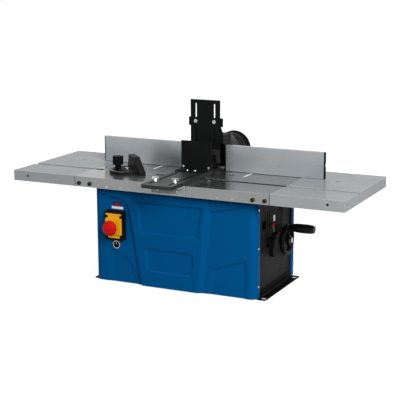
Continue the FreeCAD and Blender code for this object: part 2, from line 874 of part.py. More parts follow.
ring_low = top - S.ring_thickness
node("table_ring", revolve("table_ring", "Z", [
    (ring_low, S.ring_bore_radius),
    (ring_low, S.ring_radius - S.slide_gap),
    (top, S.ring_radius - S.slide_gap),
    (top, S.ring_bore_radius),
], spindle))

# Case


def cover_outline(face, return_end):
    """U section of a cover: outside, back along the inside."""
    inner_face = face - S.cover_wall if face.value > 0 else face + S.cover_wall
    outer = [(-S.case_left_width, return_end), (-S.case_left_width, face),
             (S.case_half_width, face), (S.case_half_width, return_end)]
    inner = [(cover_inner_x, return_end), (cover_inner_x, inner_face),
             (left_cover_inner_x, inner_face), (left_cover_inner_x, return_end)]
    return outer + inner


def round_cover_corners(body, face):
    inner_face = abs(face.value) - S.cover_wall.value

    def at_outer(edge):
        middle = edge.CenterOfMass
        return runs_along(edge, "Z") and abs(middle.y - face.value) < S.run_gap.value

    def at_inner(edge):
        middle = edge.CenterOfMass
        return runs_along(edge, "Z") and abs(abs(middle.y) - inner_face) < S.run_gap.value

    round_edges(body, S.cover_corner_radius, at_outer)
    round_edges(body, S.cover_corner_radius - S.cover_wall, at_inner)


case_height = case_top - S.case_low


def relief(shares):
    """Outline on the front cover from shares of its half width and height."""
    return [(u * S.case_half_width, S.case_low + v * case_height) for u, v in shares]


front_cover = extrude("front_shell", "Z", cover_outline(front_face, S.cover_return + front_face),
                      S.case_low, case_top)
round_cover_corners(front_cover, front_face)
raised_face = front_face - S.relief_height
loft(front_cover, "Additive", "Y", [
    (front_face, relief(RAISED_FOOT_SHARES)),
    (raised_face, relief(RAISED_SHARES)),
])
pockets = ((UPPER_POCKET_SHARES, UPPER_FLOOR_SHARES), (LOWER_POCKET_SHARES, LOWER_FLOOR_SHARES))
for shares, floor_shares in pockets:
    loft(front_cover, "Subtractive", "Y", [
        (raised_face, relief(shares)),
        (raised_face + S.pocket_depth, relief(floor_shares)),
    ])
loft(front_cover, "Additive", "Y", [
    (front_face, relief(BROW_SHARES)),
    (front_face - S.brow_height, relief(BROW_LEVEL_SHARES)),
])
dips = ((SIDE_DIP_SHARES, SIDE_DIP_LEVEL_SHARES), (SWITCH_DIP_SHARES, SWITCH_DIP_LEVEL_SHARES))
for shares, level_shares in dips:
    loft(front_cover, "Subtractive", "Y", [
        (front_face, relief(shares)),
        (front_face + S.step_depth, relief(level_shares)),
    ])
pocket(front_cover, "Y", rectangle(
    (S.reset_x - S.reset_width / 2 - S.slide_gap, S.reset_x + S.reset_width / 2 + S.slide_gap),
    (S.reset_z - S.reset_height / 2 - S.slide_gap, S.reset_z + S.reset_height / 2 + S.slide_gap),
), front_face - S.overrun, front_face + S.cover_wall + S.overrun)

back_face = S.case_half_depth
back_cover = extrude("back_shell", "Z", cover_outline(back_face, back_face - S.back_cover_return),
                     S.case_low, case_top)
round_cover_corners(back_cover, back_face)
for index in range(BACK_VENTS):
    x = S.back_face_vent_pitch * (index - (BACK_VENTS - 1) / 2)
    pocket(back_cover, "Y", rectangle(
        (x - S.back_face_vent_width / 2, x + S.back_face_vent_width / 2),
        (S.back_face_vent_low, S.back_face_vent_high),
    ), back_face - S.cover_wall - S.overrun, back_face + S.overrun)

cover_screws = list(skirt_solids["screw"])
cover_holes = []
panel_holes = {-1: [], 1: []}
for side in MIRRORED:
    for face in (front_face, back_face):
        y = face + S.cover_screw_inset if face.value < 0 else face - S.cover_screw_inset
        for z in (S.cover_screw_low, S.cover_screw_middle, S.cover_screw_high):
            name = f"cover_screw{len(cover_holes)}"
            seat = S.case_half_width if side > 0 else -S.case_left_width
            cover_screws.append(bolt(name, "X", side, seat, (y, z), screw_head, screw_shank))
            cover_holes.append(bolt_hole(name + "_cover_hole", "X", side, seat, (y, z), screw_shank))
            panel_holes[side].append(bolt_hole(name + "_panel_hole", "X", side, seat, (y, z), screw_shank))

gland_centre = (S.gland_x, S.gland_z)
gland_span = (back_face - S.cover_wall - S.overrun, back_face + S.overrun)
gland_hole = cylinder("gland_hole", S.gland_radius, "Y", gland_span, gland_centre)
front_holes = [hole for index, hole in enumerate(cover_holes) if index // 3 % 2 == 0]
back_holes = [hole for index, hole in enumerate(cover_holes) if index // 3 % 2 == 1]
node("front_cover", cut("front_cover", front_cover, front_holes))
node("back_cover", cut("back_cover", back_cover, back_holes + [gland_hole]))
node("cable_gland", revolve("cable_gland", "Y", [
    (back_face - S.cover_wall, S.gland_bore_radius),
    (back_face - S.cover_wall, S.gland_radius),
    (back_face, S.gland_radius),
    (back_face, S.gland_radius + S.cover_wall),
    (back_face + S.cover_wall, S.gland_radius + S.cover_wall),
    (back_face + S.gland_length, S.gland_radius - S.overrun),
    (back_face + S.gland_length, S.gland_bore_radius),
], gland_centre))

cover_inner_y = S.case_half_depth - S.cover_wall
core_outline = rectangle((left_cover_inner_x, cover_inner_x), (-cover_inner_y, cover_inner_y))
case_core = extrude("case_core", "Z", core_outline, S.case_low, top)
round_edges(case_core, S.cover_corner_radius - S.cover_wall, lambda edge: runs_along(edge, "Z"))

panel_half_depth = S.case_half_depth - S.panel_setback
panel_spans = {-1: (left_cover_inner_x, left_panel_inner_x), 1: (panel_inner_x, cover_inner_x)}
panel_cutters = {}
for side in MIRRORED:
    low, high = panel_spans[side]
    reach = (low - S.overrun, high + S.overrun)
    vents = []
    rows = (
        (S.front_vent_y, S.front_vent_low, S.front_vent_high),
        (S.back_vent_y, S.back_vent_low, S.back_vent_high),
    )
    for middle, low, high in rows:
        for index in range(SIDE_VENTS):
            y = middle + S.vent_pitch * (index - (SIDE_VENTS - 1) / 2)
            name = f"vent{side}_{len(vents)}"
            vents.append(box(name, reach, (y - S.vent_width / 2, y + S.vent_width / 2), (low, high)))
    rib_notch = box(f"rib_notch{side}", reach,
                    (slot_front - S.slot_rib_wall - S.slide_gap, slot_back + S.slot_rib_wall + S.slide_gap),
                    (slot_low - S.slot_rib_wall - S.slide_gap, top))
    panel_cutters[side] = vents + panel_holes[side] + [rib_notch]

bush_radius = S.crank_shaft_radius + S.run_gap + S.bush_wall
crank = (S.crank_y, S.crank_z)
lock = (S.lock_y, S.lock_z)
panel_reach = (panel_inner_x - S.overrun, cover_inner_x + S.overrun)
pointer_room = S.lift_travel + S.overrun
pointer_z = (S.pointer_z - S.pointer_height / 2, S.pointer_z + S.pointer_height / 2)
panel_cutters[1] += [
    cylinder("panel_bush_hole", bush_radius, "X", panel_reach, crank),
    cylinder("panel_lock_hole", S.lock_screw_radius + S.run_gap, "X", panel_reach, lock),
    box("pointer_slot", panel_reach,
        (S.pointer_y - S.pointer_stem_width, S.pointer_y + S.pointer_stem_width),
        (pointer_z[0] - pointer_room, pointer_z[1] + pointer_room)),
    box("panel_window", panel_reach,
        (S.window_y - S.window_width / 2, S.window_y + S.window_width / 2),
        (S.window_z - S.window_height / 2, S.window_z + S.window_height / 2)),
]
for side, label in zip(MIRRORED, ("left_panel", "right_panel")):
    sheet_metal = box(label + "_sheet", panel_spans[side], (-panel_half_depth, panel_half_depth),
                      (S.case_low, plate_low))
    node(label, cut(label, overlap(label + "_blank", sheet_metal, case_core), panel_cutters[side]))

base_top = S.case_low + S.base_thickness
base_sheet = box("base_sheet", (left_panel_inner_x, panel_inner_x), (-panel_half_depth, panel_half_depth),
                 (S.case_low, base_top))
node("base_plate", overlap("base_plate", base_sheet, case_core))


def foot_rail(side):
    """An angle along the side panel with a slot at each end of its flange."""
    root = cover_inner_x if side > 0 else -left_cover_inner_x
    web = root + S.foot_thickness
    edge = cover_inner_x + S.foot_width
    section = [(root, 0), (edge, 0), (edge, S.foot_thickness), (web, S.foot_thickness),
               (web, S.foot_height), (root, S.foot_height)]
    outline = [(side * x, z) for x, z in section]
    rail = extrude(f"foot{side}", "Y", outline, -S.foot_half_length, S.foot_half_length)

    def at_flange_corner(line):
        return runs_along(line, "Z") and abs(abs(line.CenterOfMass.x) - edge.value) < S.run_gap.value

    round_edges(rail, S.foot_corner_radius, at_flange_corner)
    web_room = (web * side, root * side) if side < 0 else (root, web)
    web_z = (S.foot_thickness, S.foot_height + S.overrun)
    web_front = front_face + S.cover_return + S.slide_gap
    web_back = back_face - S.back_cover_return - S.slide_gap
    cutters = [
        box(f"foot{side}_front_trim", web_room, (-S.foot_half_length, web_front), web_z),
        box(f"foot{side}_back_trim", web_room, (web_back, S.foot_half_length), web_z),
    ]
    for y_side in MIRRORED:
        half_run = (S.foot_slot_length - S.foot_slot_width) / 2
        x, y = side * S.foot_slot_x, y_side * S.foot_slot_y
        z = (-S.overrun, S.foot_thickness + S.overrun)
        radius = S.foot_slot_width / 2
        name = f"foot_slot{side}{y_side}"
        cutters.append(box(name, (x - half_run, x + half_run), (y - radius, y + radius), z))
        for end in MIRRORED:
            cutters.append(cylinder(f"{name}_end{end}", radius, "Z", z, (x + end * half_run, y)))
    return cut(f"foot{side}_slotted", rail, cutters)


node("feet", group("feet", [foot_rail(side) for side in MIRRORED]))

# Lift

column_centres = [(side * S.column_x, S.spindle_y) for side in MIRRORED]
node("guide_columns", group("guide_columns", [
    cylinder(f"column{index}", S.column_radius, "Z", (base_top, plate_low), centre)
    for index, centre in enumerate(column_centres)
]))

carriage_z = (S.carriage_low, S.carriage_high)
carriage_bore_z = (S.carriage_low - S.overrun, S.carriage_high + S.overrun)
carriage_front = S.spindle_y - S.carriage_wing_depth / 2
carriage_back = S.spindle_y + S.carriage_wing_depth / 2
carriage_block = fuse("carriage_block", [
    box("carriage_wings", (-S.carriage_wing_x, S.carriage_wing_x), (carriage_front, carriage_back),
        carriage_z),
    cylinder("carriage_ring", S.motor_radius + S.carriage_ring_wall, "Z", carriage_z, spindle),
])
node("carriage", cut("carriage", carriage_block, [
    cylinder("carriage_bore", S.motor_radius, "Z", carriage_bore_z, spindle),
] + [
    cylinder(f"carriage_column_bore{index}", S.column_radius + S.run_gap, "Z", carriage_bore_z, centre)
    for index, centre in enumerate(column_centres)
]))

module = S.gear_module.value
backlash = S.gear_backlash.value
pitch_radius = module * PINION_TEETH / 2
tooth_pitch = math.pi * module
pressure = math.radians(PRESSURE_ANGLE)
addendum = module * ADDENDUM_SHARE
dedendum = module * DEDENDUM_SHARE


def involute(angle):
    return math.tan(angle) - angle


def pinion_profile():
    """Corners of the pinion across its axis, with a tooth centred on +Y."""
    base_radius = pitch_radius * math.cos(pressure)
    half_tooth = (tooth_pitch / 2 - backlash / 2) / (2 * pitch_radius)
    flank = []
    for step in range(FLANK_STEPS + 1):
        radius = base_radius + (pitch_radius + addendum - base_radius) * step / FLANK_STEPS
        angle = half_tooth + involute(pressure) - involute(math.acos(base_radius / radius))
        flank.append((radius, angle))
    flank.insert(0, (pitch_radius - dedendum, flank[0][1]))
    corners = []
    for tooth in range(PINION_TEETH):
        middle = 2 * math.pi * tooth / PINION_TEETH
        for radius, angle in [(r, -a) for r, a in flank] + list(reversed(flank)):
            corners.append((radius * math.cos(middle + angle), radius * math.sin(middle + angle)))
    return corners


def prism_along_x(corners, start, length):
    """Solid from corners given in Y and Z."""
    points = [FreeCAD.Vector(start, y, z) for y, z in corners]
    face = Part.Face(Part.makePolygon(points + points[:1]))
    return face.extrude(FreeCAD.Vector(length, 0, 0))


pinion = doc.addObject("Part::Feature", "pinion")
pinion.Shape = prism_along_x(pinion_profile(), 0, S.pinion_width.value)
place(pinion, S.pinion_x, *crank)
wheel_face = S.wheel_x + S.wheel_hub_length / 2
shaft_end = wheel_face + S.wheel_nut_height
shaft = cylinder("crank_rod", S.crank_shaft_radius, "X", (S.bracket_x, shaft_end), crank)
node("crank_shaft", fuse("crank_shaft", [shaft, pinion]))


def rack_profile():
    """Corners of the rack in Y and Z about the crank, with a gap facing the pinion's tooth on +Y."""
    half_tip = (tooth_pitch / 2 - backlash / 2) / 2 - addendum * math.tan(pressure)
    half_root = (tooth_pitch / 2 - backlash / 2) / 2 + dedendum * math.tan(pressure)
    tip, root = pitch_radius - addendum, pitch_radius + dedendum
    back = carriage_front.value - S.crank_y.value
    low = S.carriage_high.value - S.rack_length.value - S.crank_z.value
    high = S.carriage_high.value - S.crank_z.value
    teeth = [
        (index + 0.5) * tooth_pitch
        for index in range(math.ceil(low / tooth_pitch), math.floor(high / tooth_pitch) - 1)
    ]
    corners = [(back, low), (root, low)]
    for middle in teeth:
        corners += [(root, middle - half_root), (tip, middle - half_tip)]
        corners += [(tip, middle + half_tip), (root, middle + half_root)]
    return corners + [(root, high), (back, high)]


rack = doc.addObject("Part::Feature", "rack")
rack.Shape = prism_along_x(rack_profile(), 0, S.pinion_width.value)
place(rack, S.pinion_x, *crank)
node("rack", rack)

bracket_x = (S.bracket_x, S.bracket_x + S.bracket_thickness)
bracket_plate = box("bracket_plate", bracket_x,
                    (S.crank_y - S.bracket_width / 2, S.crank_y + S.bracket_width / 2),
                    (base_top, S.crank_z + S.bracket_width / 2))
node("crank_bracket", cut("crank_bracket", bracket_plate, [
    cylinder("bracket_bore", bush_radius, "X", (bracket_x[0] - S.overrun, bracket_x[1] + S.overrun), crank),
]))


def flanged_bush(name, x, flange_start, centre, radius, bore_radius):
    sleeve = cylinder(name + "_sleeve", radius, "X", x, centre)
    flange = cylinder(name + "_flange", radius + S.bush_flange, "X",
                      (flange_start, flange_start + S.bush_flange_height), centre)
    reach = S.bush_flange_height + S.overrun
    bore = cylinder(name + "_bore", bore_radius, "X", (x[0] - reach, x[1] + reach), centre)
    return cut(name, fuse(name + "_blank", [sleeve, flange]), [bore])


shaft_bore = S.crank_shaft_radius + S.run_gap
arm_outer = S.arm_x + S.arm_thickness
lock_spacer_x = (arm_outer + S.slide_gap, panel_inner_x)
lock_spacer = cut("lock_spacer", cylinder("lock_spacer_rod", S.lock_nut_radius, "X", lock_spacer_x, lock), [
    cylinder("lock_spacer_bore", S.lock_screw_radius + S.run_gap, "X",
             (lock_spacer_x[0] - S.overrun, lock_spacer_x[1] + S.overrun), lock),
])
node("crank_bushes", group("crank_bushes", [
    flanged_bush("bracket_bush", bracket_x, bracket_x[1], crank, bush_radius, shaft_bore),
    flanged_bush("panel_bush", (panel_inner_x, cover_inner_x), cover_inner_x, crank, bush_radius, shaft_bore),
    lock_spacer,
]))

arm_z = (S.arm_low, S.carriage_high)
arm_plate_x = (S.arm_x, arm_outer)
lift_arm_blank = fuse("lift_arm_blank", [
    box("arm_bar", (S.carriage_wing_x, arm_outer), (S.arm_bar_y, S.arm_bar_y + S.arm_bar_thickness), arm_z),
    box("arm_plate", arm_plate_x, (S.arm_front_y, S.arm_bar_y + S.arm_bar_thickness), arm_z),
    box("arm_tab", arm_plate_x, (S.arm_front_y, S.arm_tab_back_y), (S.arm_tab_low, S.carriage_high)),
])
lock_room = S.lift_travel + S.lock_screw_radius + S.overrun
lock_slot_half = S.lock_screw_radius + S.slide_gap
node("lift_arm", cut("lift_arm", lift_arm_blank, [
    box("arm_lock_slot", (S.arm_x - S.overrun, arm_outer + S.overrun),
        (S.lock_y - lock_slot_half, S.lock_y + lock_slot_half), (S.lock_z - lock_room, S.lock_z + lock_room)),
]))

pointer_back = S.pointer_y + S.pointer_stem_width / 2
finger_x = cover_inner_x + S.pointer_stand
node("pointer", fuse("pointer", [
    box("pointer_stem", (arm_outer, finger_x), (S.pointer_y - S.pointer_stem_width / 2, pointer_back),
        pointer_z),
    box("pointer_finger", (finger_x, finger_x + S.pointer_thickness),
        (pointer_back - S.pointer_reach, pointer_back),
        pointer_z),
]))
scale_back = S.pointer_y - S.pointer_stem_width - S.slide_gap
node("scale_plate", box("scale_plate", (cover_inner_x, cover_inner_x + S.scale_thickness),
                        (scale_back - S.scale_width, scale_back),
                        (S.scale_z - S.scale_length / 2, S.scale_z + S.scale_length / 2)))

# Handwheel, grip and lock lever

wheel_rim = doc.addObject("Part::Torus", "wheel_rim")
bind(wheel_rim, "Radius1", S.wheel_radius - S.wheel_rim_radius)
bind(wheel_rim, "Radius2", S.wheel_rim_radius)
wheel_rim.Placement.Rotation = TURNS["X"]
place(wheel_rim, S.wheel_x, *crank)
hub_x = (S.wheel_x - S.wheel_hub_length / 2, wheel_face)
wheel_solids = [wheel_rim, cylinder("wheel_hub", S.wheel_hub_radius, "X", hub_x, crank)]
grip_offset = (S.grip_y.value - S.crank_y.value, S.grip_z.value - S.crank_z.value)
grip_angle = math.degrees(math.atan2(grip_offset[0], grip_offset[1]))
for index in range(SPOKES):
    spoke = doc.addObject("Part::Cylinder", f"wheel_spoke{index}")
    bind(spoke, "Radius", S.wheel_spoke_radius)
    bind(spoke, "Height", S.wheel_radius - S.wheel_rim_radius)
    spoke.Placement.Rotation = FreeCAD.Rotation(FreeCAD.Vector(1, 0, 0), 360 * index / SPOKES - grip_angle)
    place(spoke, S.wheel_x, *crank)
    wheel_solids.append(spoke)
grip_root = S.wheel_x + S.wheel_rim_radius
grip_centre = (S.grip_y, S.grip_z)
grip_bolt_start = S.wheel_x - S.wheel_rim_radius
wheel_bores = [
    cylinder("wheel_bore", S.crank_shaft_radius, "X", (hub_x[0] - S.overrun, hub_x[1] + S.overrun), crank),
    cylinder("wheel_grip_bore", S.grip_bolt_radius, "X", (grip_bolt_start - S.overrun, grip_root + S.overrun),
             grip_centre),
]
grip_boss = cylinder("wheel_grip_boss", S.grip_root_radius, "X", (grip_bolt_start, grip_root), grip_centre)
node("handwheel", cut("handwheel", fuse("handwheel_blank", wheel_solids + [grip_boss]), wheel_bores))

nut_blank = prism("wheel_nut_blank", HEX_SIDES, S.wheel_nut_radius, "X", (wheel_face, shaft_end), crank)
nut_bore = cylinder("wheel_nut_bore", S.crank_shaft_radius, "X",
                    (wheel_face - S.overrun, shaft_end + S.overrun), crank)
grip_start = grip_root + S.slide_gap
grip_bolt_head = (S.grip_bolt_radius + S.bush_wall, S.bush_flange_height)
grip_bolt_end = grip_start + S.grip_bolt_length
grip_bolt = bolt("grip_bolt", "X", -1, grip_bolt_start, grip_centre, grip_bolt_head,
                 (S.grip_bolt_radius, grip_bolt_end - grip_bolt_start))
node("wheel_fasteners", group("wheel_fasteners", [cut("wheel_nut", nut_blank, [nut_bore]), grip_bolt]))
grip_bore_radius = S.grip_bolt_radius + S.run_gap
grip_swell = S.grip_belly_radius - S.grip_root_radius
grip_profile = [
    (grip_start + along * S.grip_length, S.grip_root_radius + swell * grip_swell)
    for along, swell in GRIP_SHARES
]
grip_bore_end = grip_bolt_end + S.slide_gap
node("grip", revolve("grip", "X", grip_profile + [
    (grip_start + S.grip_length, 0),
    (grip_bore_end, 0),
    (grip_bore_end, grip_bore_radius),
    (grip_start, grip_bore_radius),
], grip_centre))


def leaf(length, width, lean, sign):
    return [
        (S.lock_y + along * lean + sign * across * width, S.lock_z + sign * along * length)
        for along, across in LEAF_SHARES
    ]


lock_x = (S.lock_x, S.lock_x + S.lock_thickness)
lock_leaves = [
    extrude("lock_leaf", "X", leaf(S.lock_arm_length, S.lock_arm_width, S.lock_arm_lean, 1), *lock_x),
    extrude("lock_lobe", "X", leaf(S.lock_lobe_length, S.lock_lobe_width, S.lock_lobe_lean, -1), *lock_x),
]
lock_nut_start = S.arm_x - S.slide_gap - S.lock_nut_height
node("lock_lever", fuse("lock_lever", lock_leaves + [
    cylinder("lock_hub", S.lock_hub_radius, "X", (cover_inner_x + S.slide_gap, lock_x[1]), lock),
    cylinder("lock_screw", S.lock_screw_radius, "X", (lock_nut_start, lock_x[1]), lock),
    cylinder("lock_nut", S.lock_nut_radius, "X", (lock_nut_start, S.arm_x - S.slide_gap), lock),
]))

# Motor and spindle

neck_top = S.motor_high + S.motor_neck_height
cavity_radius = S.motor_radius - S.motor_wall
upper_seat = (neck_top - S.motor_floor - S.bearing_height, neck_top - S.motor_floor)
lower_seat = (S.motor_low + S.motor_floor, S.motor_low + S.motor_floor + S.bearing_height)
shaft_window = S.journal_radius + S.overrun
shoulder = S.bearing_radius - S.overrun
cavity_low = lower_seat[1] + S.motor_floor
cavity_high = S.motor_high - S.motor_wall
node("motor_housing", revolve("motor_housing", "Z", [
    (S.motor_low, shaft_window),
    (S.motor_low, S.motor_radius),
    (S.motor_high, S.motor_radius),
    (S.motor_high + S.motor_wall, S.motor_neck_radius),
    (neck_top, S.motor_neck_radius),
    (neck_top, shaft_window),
    (upper_seat[1], shaft_window),
    (upper_seat[1], S.bearing_radius),
    (upper_seat[0], S.bearing_radius),
    (upper_seat[0], shoulder),
    (cavity_high, shoulder),
    (cavity_high, cavity_radius),
    (cavity_low, cavity_radius),
    (cavity_low, shoulder),
    (lower_seat[1], shoulder),
    (lower_seat[1], S.bearing_radius),
    (lower_seat[0], S.bearing_radius),
    (lower_seat[0], shaft_window),
], spindle))

bearing_bore = S.journal_radius + S.run_gap
node("spindle_bearings", group("spindle_bearings", [
    revolve(name, "Z", [(seat[0], bearing_bore), (seat[0], S.bearing_radius), (seat[1], S.bearing_radius),
                        (seat[1], bearing_bore)], spindle)
    for name, seat in (("lower_bearing", lower_seat), ("upper_bearing", upper_seat))
]))

nose_low = neck_top + S.overrun
collet_low = S.spindle_top - S.collet_length
rotor_z = (cavity_low + S.rotor_clearance + S.fan_height, cavity_high - S.rotor_clearance)
core_radius = shoulder - S.overrun
node("spindle", revolve("spindle", "Z", [
    (S.motor_low + S.slide_gap, 0),
    (S.motor_low + S.slide_gap, S.journal_radius),
    (lower_seat[1] + S.slide_gap, S.journal_radius),
    (lower_seat[1] + S.slide_gap, core_radius),
    (upper_seat[0] - S.slide_gap, core_radius),
    (upper_seat[0] - S.slide_gap, S.journal_radius),
    (nose_low, S.journal_radius),
    (nose_low, S.nose_radius),
    (S.spindle_top, S.nose_radius),
    (S.spindle_top, S.collet_radius),
    (collet_low, S.collet_radius),
    (collet_low, 0),
], spindle))
node("rotor", revolve("rotor", "Z", [
    (rotor_z[0] - S.fan_height, core_radius),
    (rotor_z[0] - S.fan_height, S.fan_radius),
    (rotor_z[0], S.fan_radius),
    (rotor_z[0], S.rotor_radius),
    (rotor_z[1], S.rotor_radius),
    (rotor_z[1], core_radius),
], spindle))
node("collet", revolve("collet", "Z", [
    (collet_low, S.collet_bore_radius),
    (collet_low, S.collet_radius),
    (S.spindle_top, S.collet_radius),
    (S.spindle_top, S.collet_bore_radius),
], spindle))
nut_top = S.spindle_top + S.nut_lip
nut_z = (nut_top - S.nut_height, nut_top)
nut_hex = prism("collet_nut_blank", HEX_SIDES, S.nose_radius + S.nut_wall + S.overrun, "Z", nut_z, spindle)
node("collet_nut", cut("collet_nut", nut_hex, [
    cylinder("collet_nut_thread", S.nose_radius, "Z", (nut_z[0] - S.overrun, S.spindle_top), spindle),
    cylinder("collet_nut_mouth", S.collet_radius, "Z", (S.spindle_top - S.overrun, nut_top + S.overrun),
             spindle),
]))

# Controls on the front cover

switch_face = front_face - S.switch_depth
switch_block = extrude("switch_block", "Y", rectangle(
    (S.switch_x - S.switch_half_width, S.switch_x + S.switch_half_width),
    (S.switch_low, S.switch_high),
), switch_face, front_face)
round_edges(switch_block, S.switch_corner_radius, lambda edge: runs_along(edge, "Y"))
hinge_y = switch_face - S.flap_hinge_stand
hinge = (hinge_y, S.flap_hinge_z)
lug_inner = S.flap_half_width + S.slide_gap
lug_solids = []
for side in MIRRORED:
    lug = (S.switch_x + side * lug_inner, S.switch_x + side * (lug_inner + S.hinge_lug_width))
    pin = (S.switch_x + side * (lug_inner - S.hinge_pin_length), lug[1])
    lug, pin = (lug, pin) if side > 0 else (lug[::-1], pin[::-1])
    knuckle = S.flap_knuckle_radius
    lug_solids += [
        box(f"hinge_lug{side}", lug, (hinge_y - knuckle, switch_face),
            (S.flap_hinge_z - knuckle, S.flap_hinge_z + knuckle)),
        cylinder(f"hinge_pin{side}", S.hinge_pin_radius, "X", pin, hinge),
    ]
start_centre = (S.switch_x, S.start_z)
start_bore = cylinder("start_bore", S.start_radius + S.slide_gap, "Y",
                      (switch_face - S.overrun, front_face - S.start_proud), start_centre)
node("switch_base", cut("switch_base", fuse("switch_base_blank", [switch_block] + lug_solids), [start_bore]))
start_front = switch_face - S.start_proud
node("start_button", revolve("start_button", "Y", [
    (start_front, 0),
    (start_front, S.start_radius - S.start_proud),
    (start_front + S.start_proud, S.start_radius),
    (start_front + S.start_depth, S.start_radius),
    (start_front + S.start_depth, 0),
], start_centre))

flap_back = hinge_y + S.flap_knuckle_radius / 2
flap_y = (flap_back - S.flap_thickness, flap_back)
flap_x = (S.switch_x - S.flap_half_width, S.switch_x + S.flap_half_width)
stop_centre = (S.switch_x, S.stop_z)
flap_tabs = (S.switch_x - S.flap_tab_half_width, S.switch_x + S.flap_tab_half_width)
flap_front = flap_y[0] - S.flap_block_height
flap_plate = extrude("flap_plate", "Y", rectangle(flap_x, (S.flap_block_low, S.flap_block_high)), *flap_y)
loft(flap_plate, "Additive", "Y", [
    (flap_y[0], rectangle(flap_x, (S.flap_block_low, S.flap_block_high))),
    (flap_front, rectangle(
        (flap_x[0] + S.flap_block_draft, flap_x[1] - S.flap_block_draft),
        (S.flap_block_low + S.flap_block_draft, S.flap_block_high - S.flap_block_draft),
    )),
])
flap_blank = fuse("flap_blank", [
    flap_plate,
    box("flap_tabs", flap_tabs, flap_y, (S.flap_low, S.flap_hinge_z)),
    cylinder("flap_knuckle", S.flap_knuckle_radius, "X", flap_x, hinge),
])
node("switch_flap", cut("switch_flap", flap_blank, [
    cylinder("flap_pin_bore", S.hinge_pin_radius + S.run_gap, "X",
             (flap_x[0] - S.overrun, flap_x[1] + S.overrun), hinge),
    cylinder("flap_stop_bore", S.stop_stem_radius + S.run_gap, "Y",
             (flap_front - S.overrun, flap_y[1] + S.overrun), stop_centre),
]))
dome_start = flap_front - S.stop_stem_height
node("stop_button", revolve("stop_button", "Y", [
    (flap_back, 0),
    (flap_back, S.stop_stem_radius),
    (dome_start, S.stop_stem_radius),
] + [
    (dome_start - out * S.stop_height, across * S.stop_radius) for out, across in DOME_SHARES
] + [(dome_start - S.stop_height, 0)], stop_centre))

node("reset_button", box(
    "reset_button",
    (S.reset_x - S.reset_width / 2, S.reset_x + S.reset_width / 2),
    (front_face - S.reset_proud, front_face + S.reset_tail),
    (S.reset_z - S.reset_height / 2, S.reset_z + S.reset_height / 2),
))

dial_centre = (S.dial_x, S.dial_z)
bezel_bore = S.bezel_radius - S.bezel_wall
node("dial_bezel", revolve("dial_bezel", "Y", [
    (front_face, bezel_bore),
    (front_face, S.bezel_radius),
    (front_face - S.bezel_height, S.bezel_radius - S.bezel_wall / 2),
    (front_face - S.bezel_height, bezel_bore),
], dial_centre))
dial_radius = bezel_bore - S.run_gap
dial_crown = dial_radius - S.bezel_wall / 2
node("speed_dial", revolve("speed_dial", "Y", [
    (front_face, 0),
    (front_face, dial_radius),
    (front_face - S.dial_height + S.bezel_wall, dial_radius),
    (front_face - S.dial_height, dial_crown),
    (front_face - S.dial_height, 0),
], dial_centre))

inner_front = front_face + S.cover_wall
board_y = (inner_front + S.board_stand, inner_front + S.board_stand + S.board_thickness)
board_x = (S.switch_x - S.board_half_width, S.switch_x + S.board_half_width)
board_solids = [box("board_plate", board_x, board_y, (S.board_low, S.board_high))]
for index, (x, z) in enumerate(rectangle(
    (board_x[0] + S.board_post_radius, board_x[1] - S.board_post_radius),
    (S.board_low + S.board_post_radius, S.board_high - S.board_post_radius),
)):
    post_y = (inner_front, board_y[0])
    board_solids.append(cylinder(f"board_post{index}", S.board_post_radius, "Y", post_y, (x, z)))
node("control_board", fuse("control_board", board_solids))

# Fence, hood, dust port and guard

fence_low = top + S.fence_lift
fence_high = fence_low + S.fence_height
fence_back = S.fence_y + S.fence_thickness
tee_z = fence_low + S.fence_height / 2
chamber_front = fence_back - S.tee_slot_depth - S.tee_chamber_depth
neck_front = fence_back - S.tee_slot_depth
slot_half = S.tee_slot_width / 2
chamber_half = S.tee_chamber_width / 2
fence_section = [
    (S.fence_y, fence_low), (fence_back, fence_low), (fence_back, tee_z - slot_half),
    (neck_front, tee_z - slot_half), (neck_front, tee_z - chamber_half),
    (chamber_front, tee_z - chamber_half), (chamber_front, tee_z + chamber_half),
    (neck_front, tee_z + chamber_half), (neck_front, tee_z + slot_half), (fence_back, tee_z + slot_half),
    (fence_back, fence_high), (S.fence_y, fence_high),
]
for label, start in (("left_fence", S.fence_left_x), ("right_fence", S.fence_right_x)):
    node(label, extrude(label, "X", fence_section, start, start + S.fence_length))

flange_low = top + S.slide_gap
flange_top = flange_low + S.carrier_thickness
wall_front = fence_back + S.slide_gap
wall_back = wall_front + S.carrier_thickness
carrier_x = (-S.carrier_half_length, S.carrier_half_length)
tee_places = [(side * x, tee_z) for side in MIRRORED for x in (S.tee_near_x, S.tee_far_x)]
clamp_places = [(side * S.fence_slot_x, S.clamp_y) for side in MIRRORED]
carrier_blank = fuse("carrier_blank", [
    box("carrier_wall", carrier_x, (wall_front, wall_back), (flange_low, flange_low + S.carrier_wall_height)),
    box("carrier_flange", carrier_x, (wall_front, wall_front + S.carrier_depth), (flange_low, flange_top)),
])
tee_bore_span = (wall_front - S.overrun, wall_back + S.overrun)
clamp_bore_span = (flange_low - S.overrun, flange_top + S.overrun)
node("fence_carrier", cut("fence_carrier", carrier_blank, [
    box("carrier_opening",
        (S.carrier_opening_margin - S.hood_left, S.hood_right - S.carrier_opening_margin),
        (wall_front - S.overrun, wall_front + S.carrier_opening_depth),
        (flange_low - S.overrun, flange_low + S.carrier_wall_height + S.overrun)),
    box("carrier_hood_notch", (-S.hood_left, S.hood_right), (wall_front - S.overrun, wall_back),
        (flange_top, flange_low + S.carrier_wall_height + S.overrun)),
] + [
    cylinder(f"carrier_tee_bore{index}", S.tee_bolt_radius, "Y", tee_bore_span, centre)
    for index, centre in enumerate(tee_places)
] + [
    cylinder(f"carrier_clamp_bore{index}", S.clamp_bolt_radius, "Z", clamp_bore_span, centre)
    for index, centre in enumerate(clamp_places)
]))


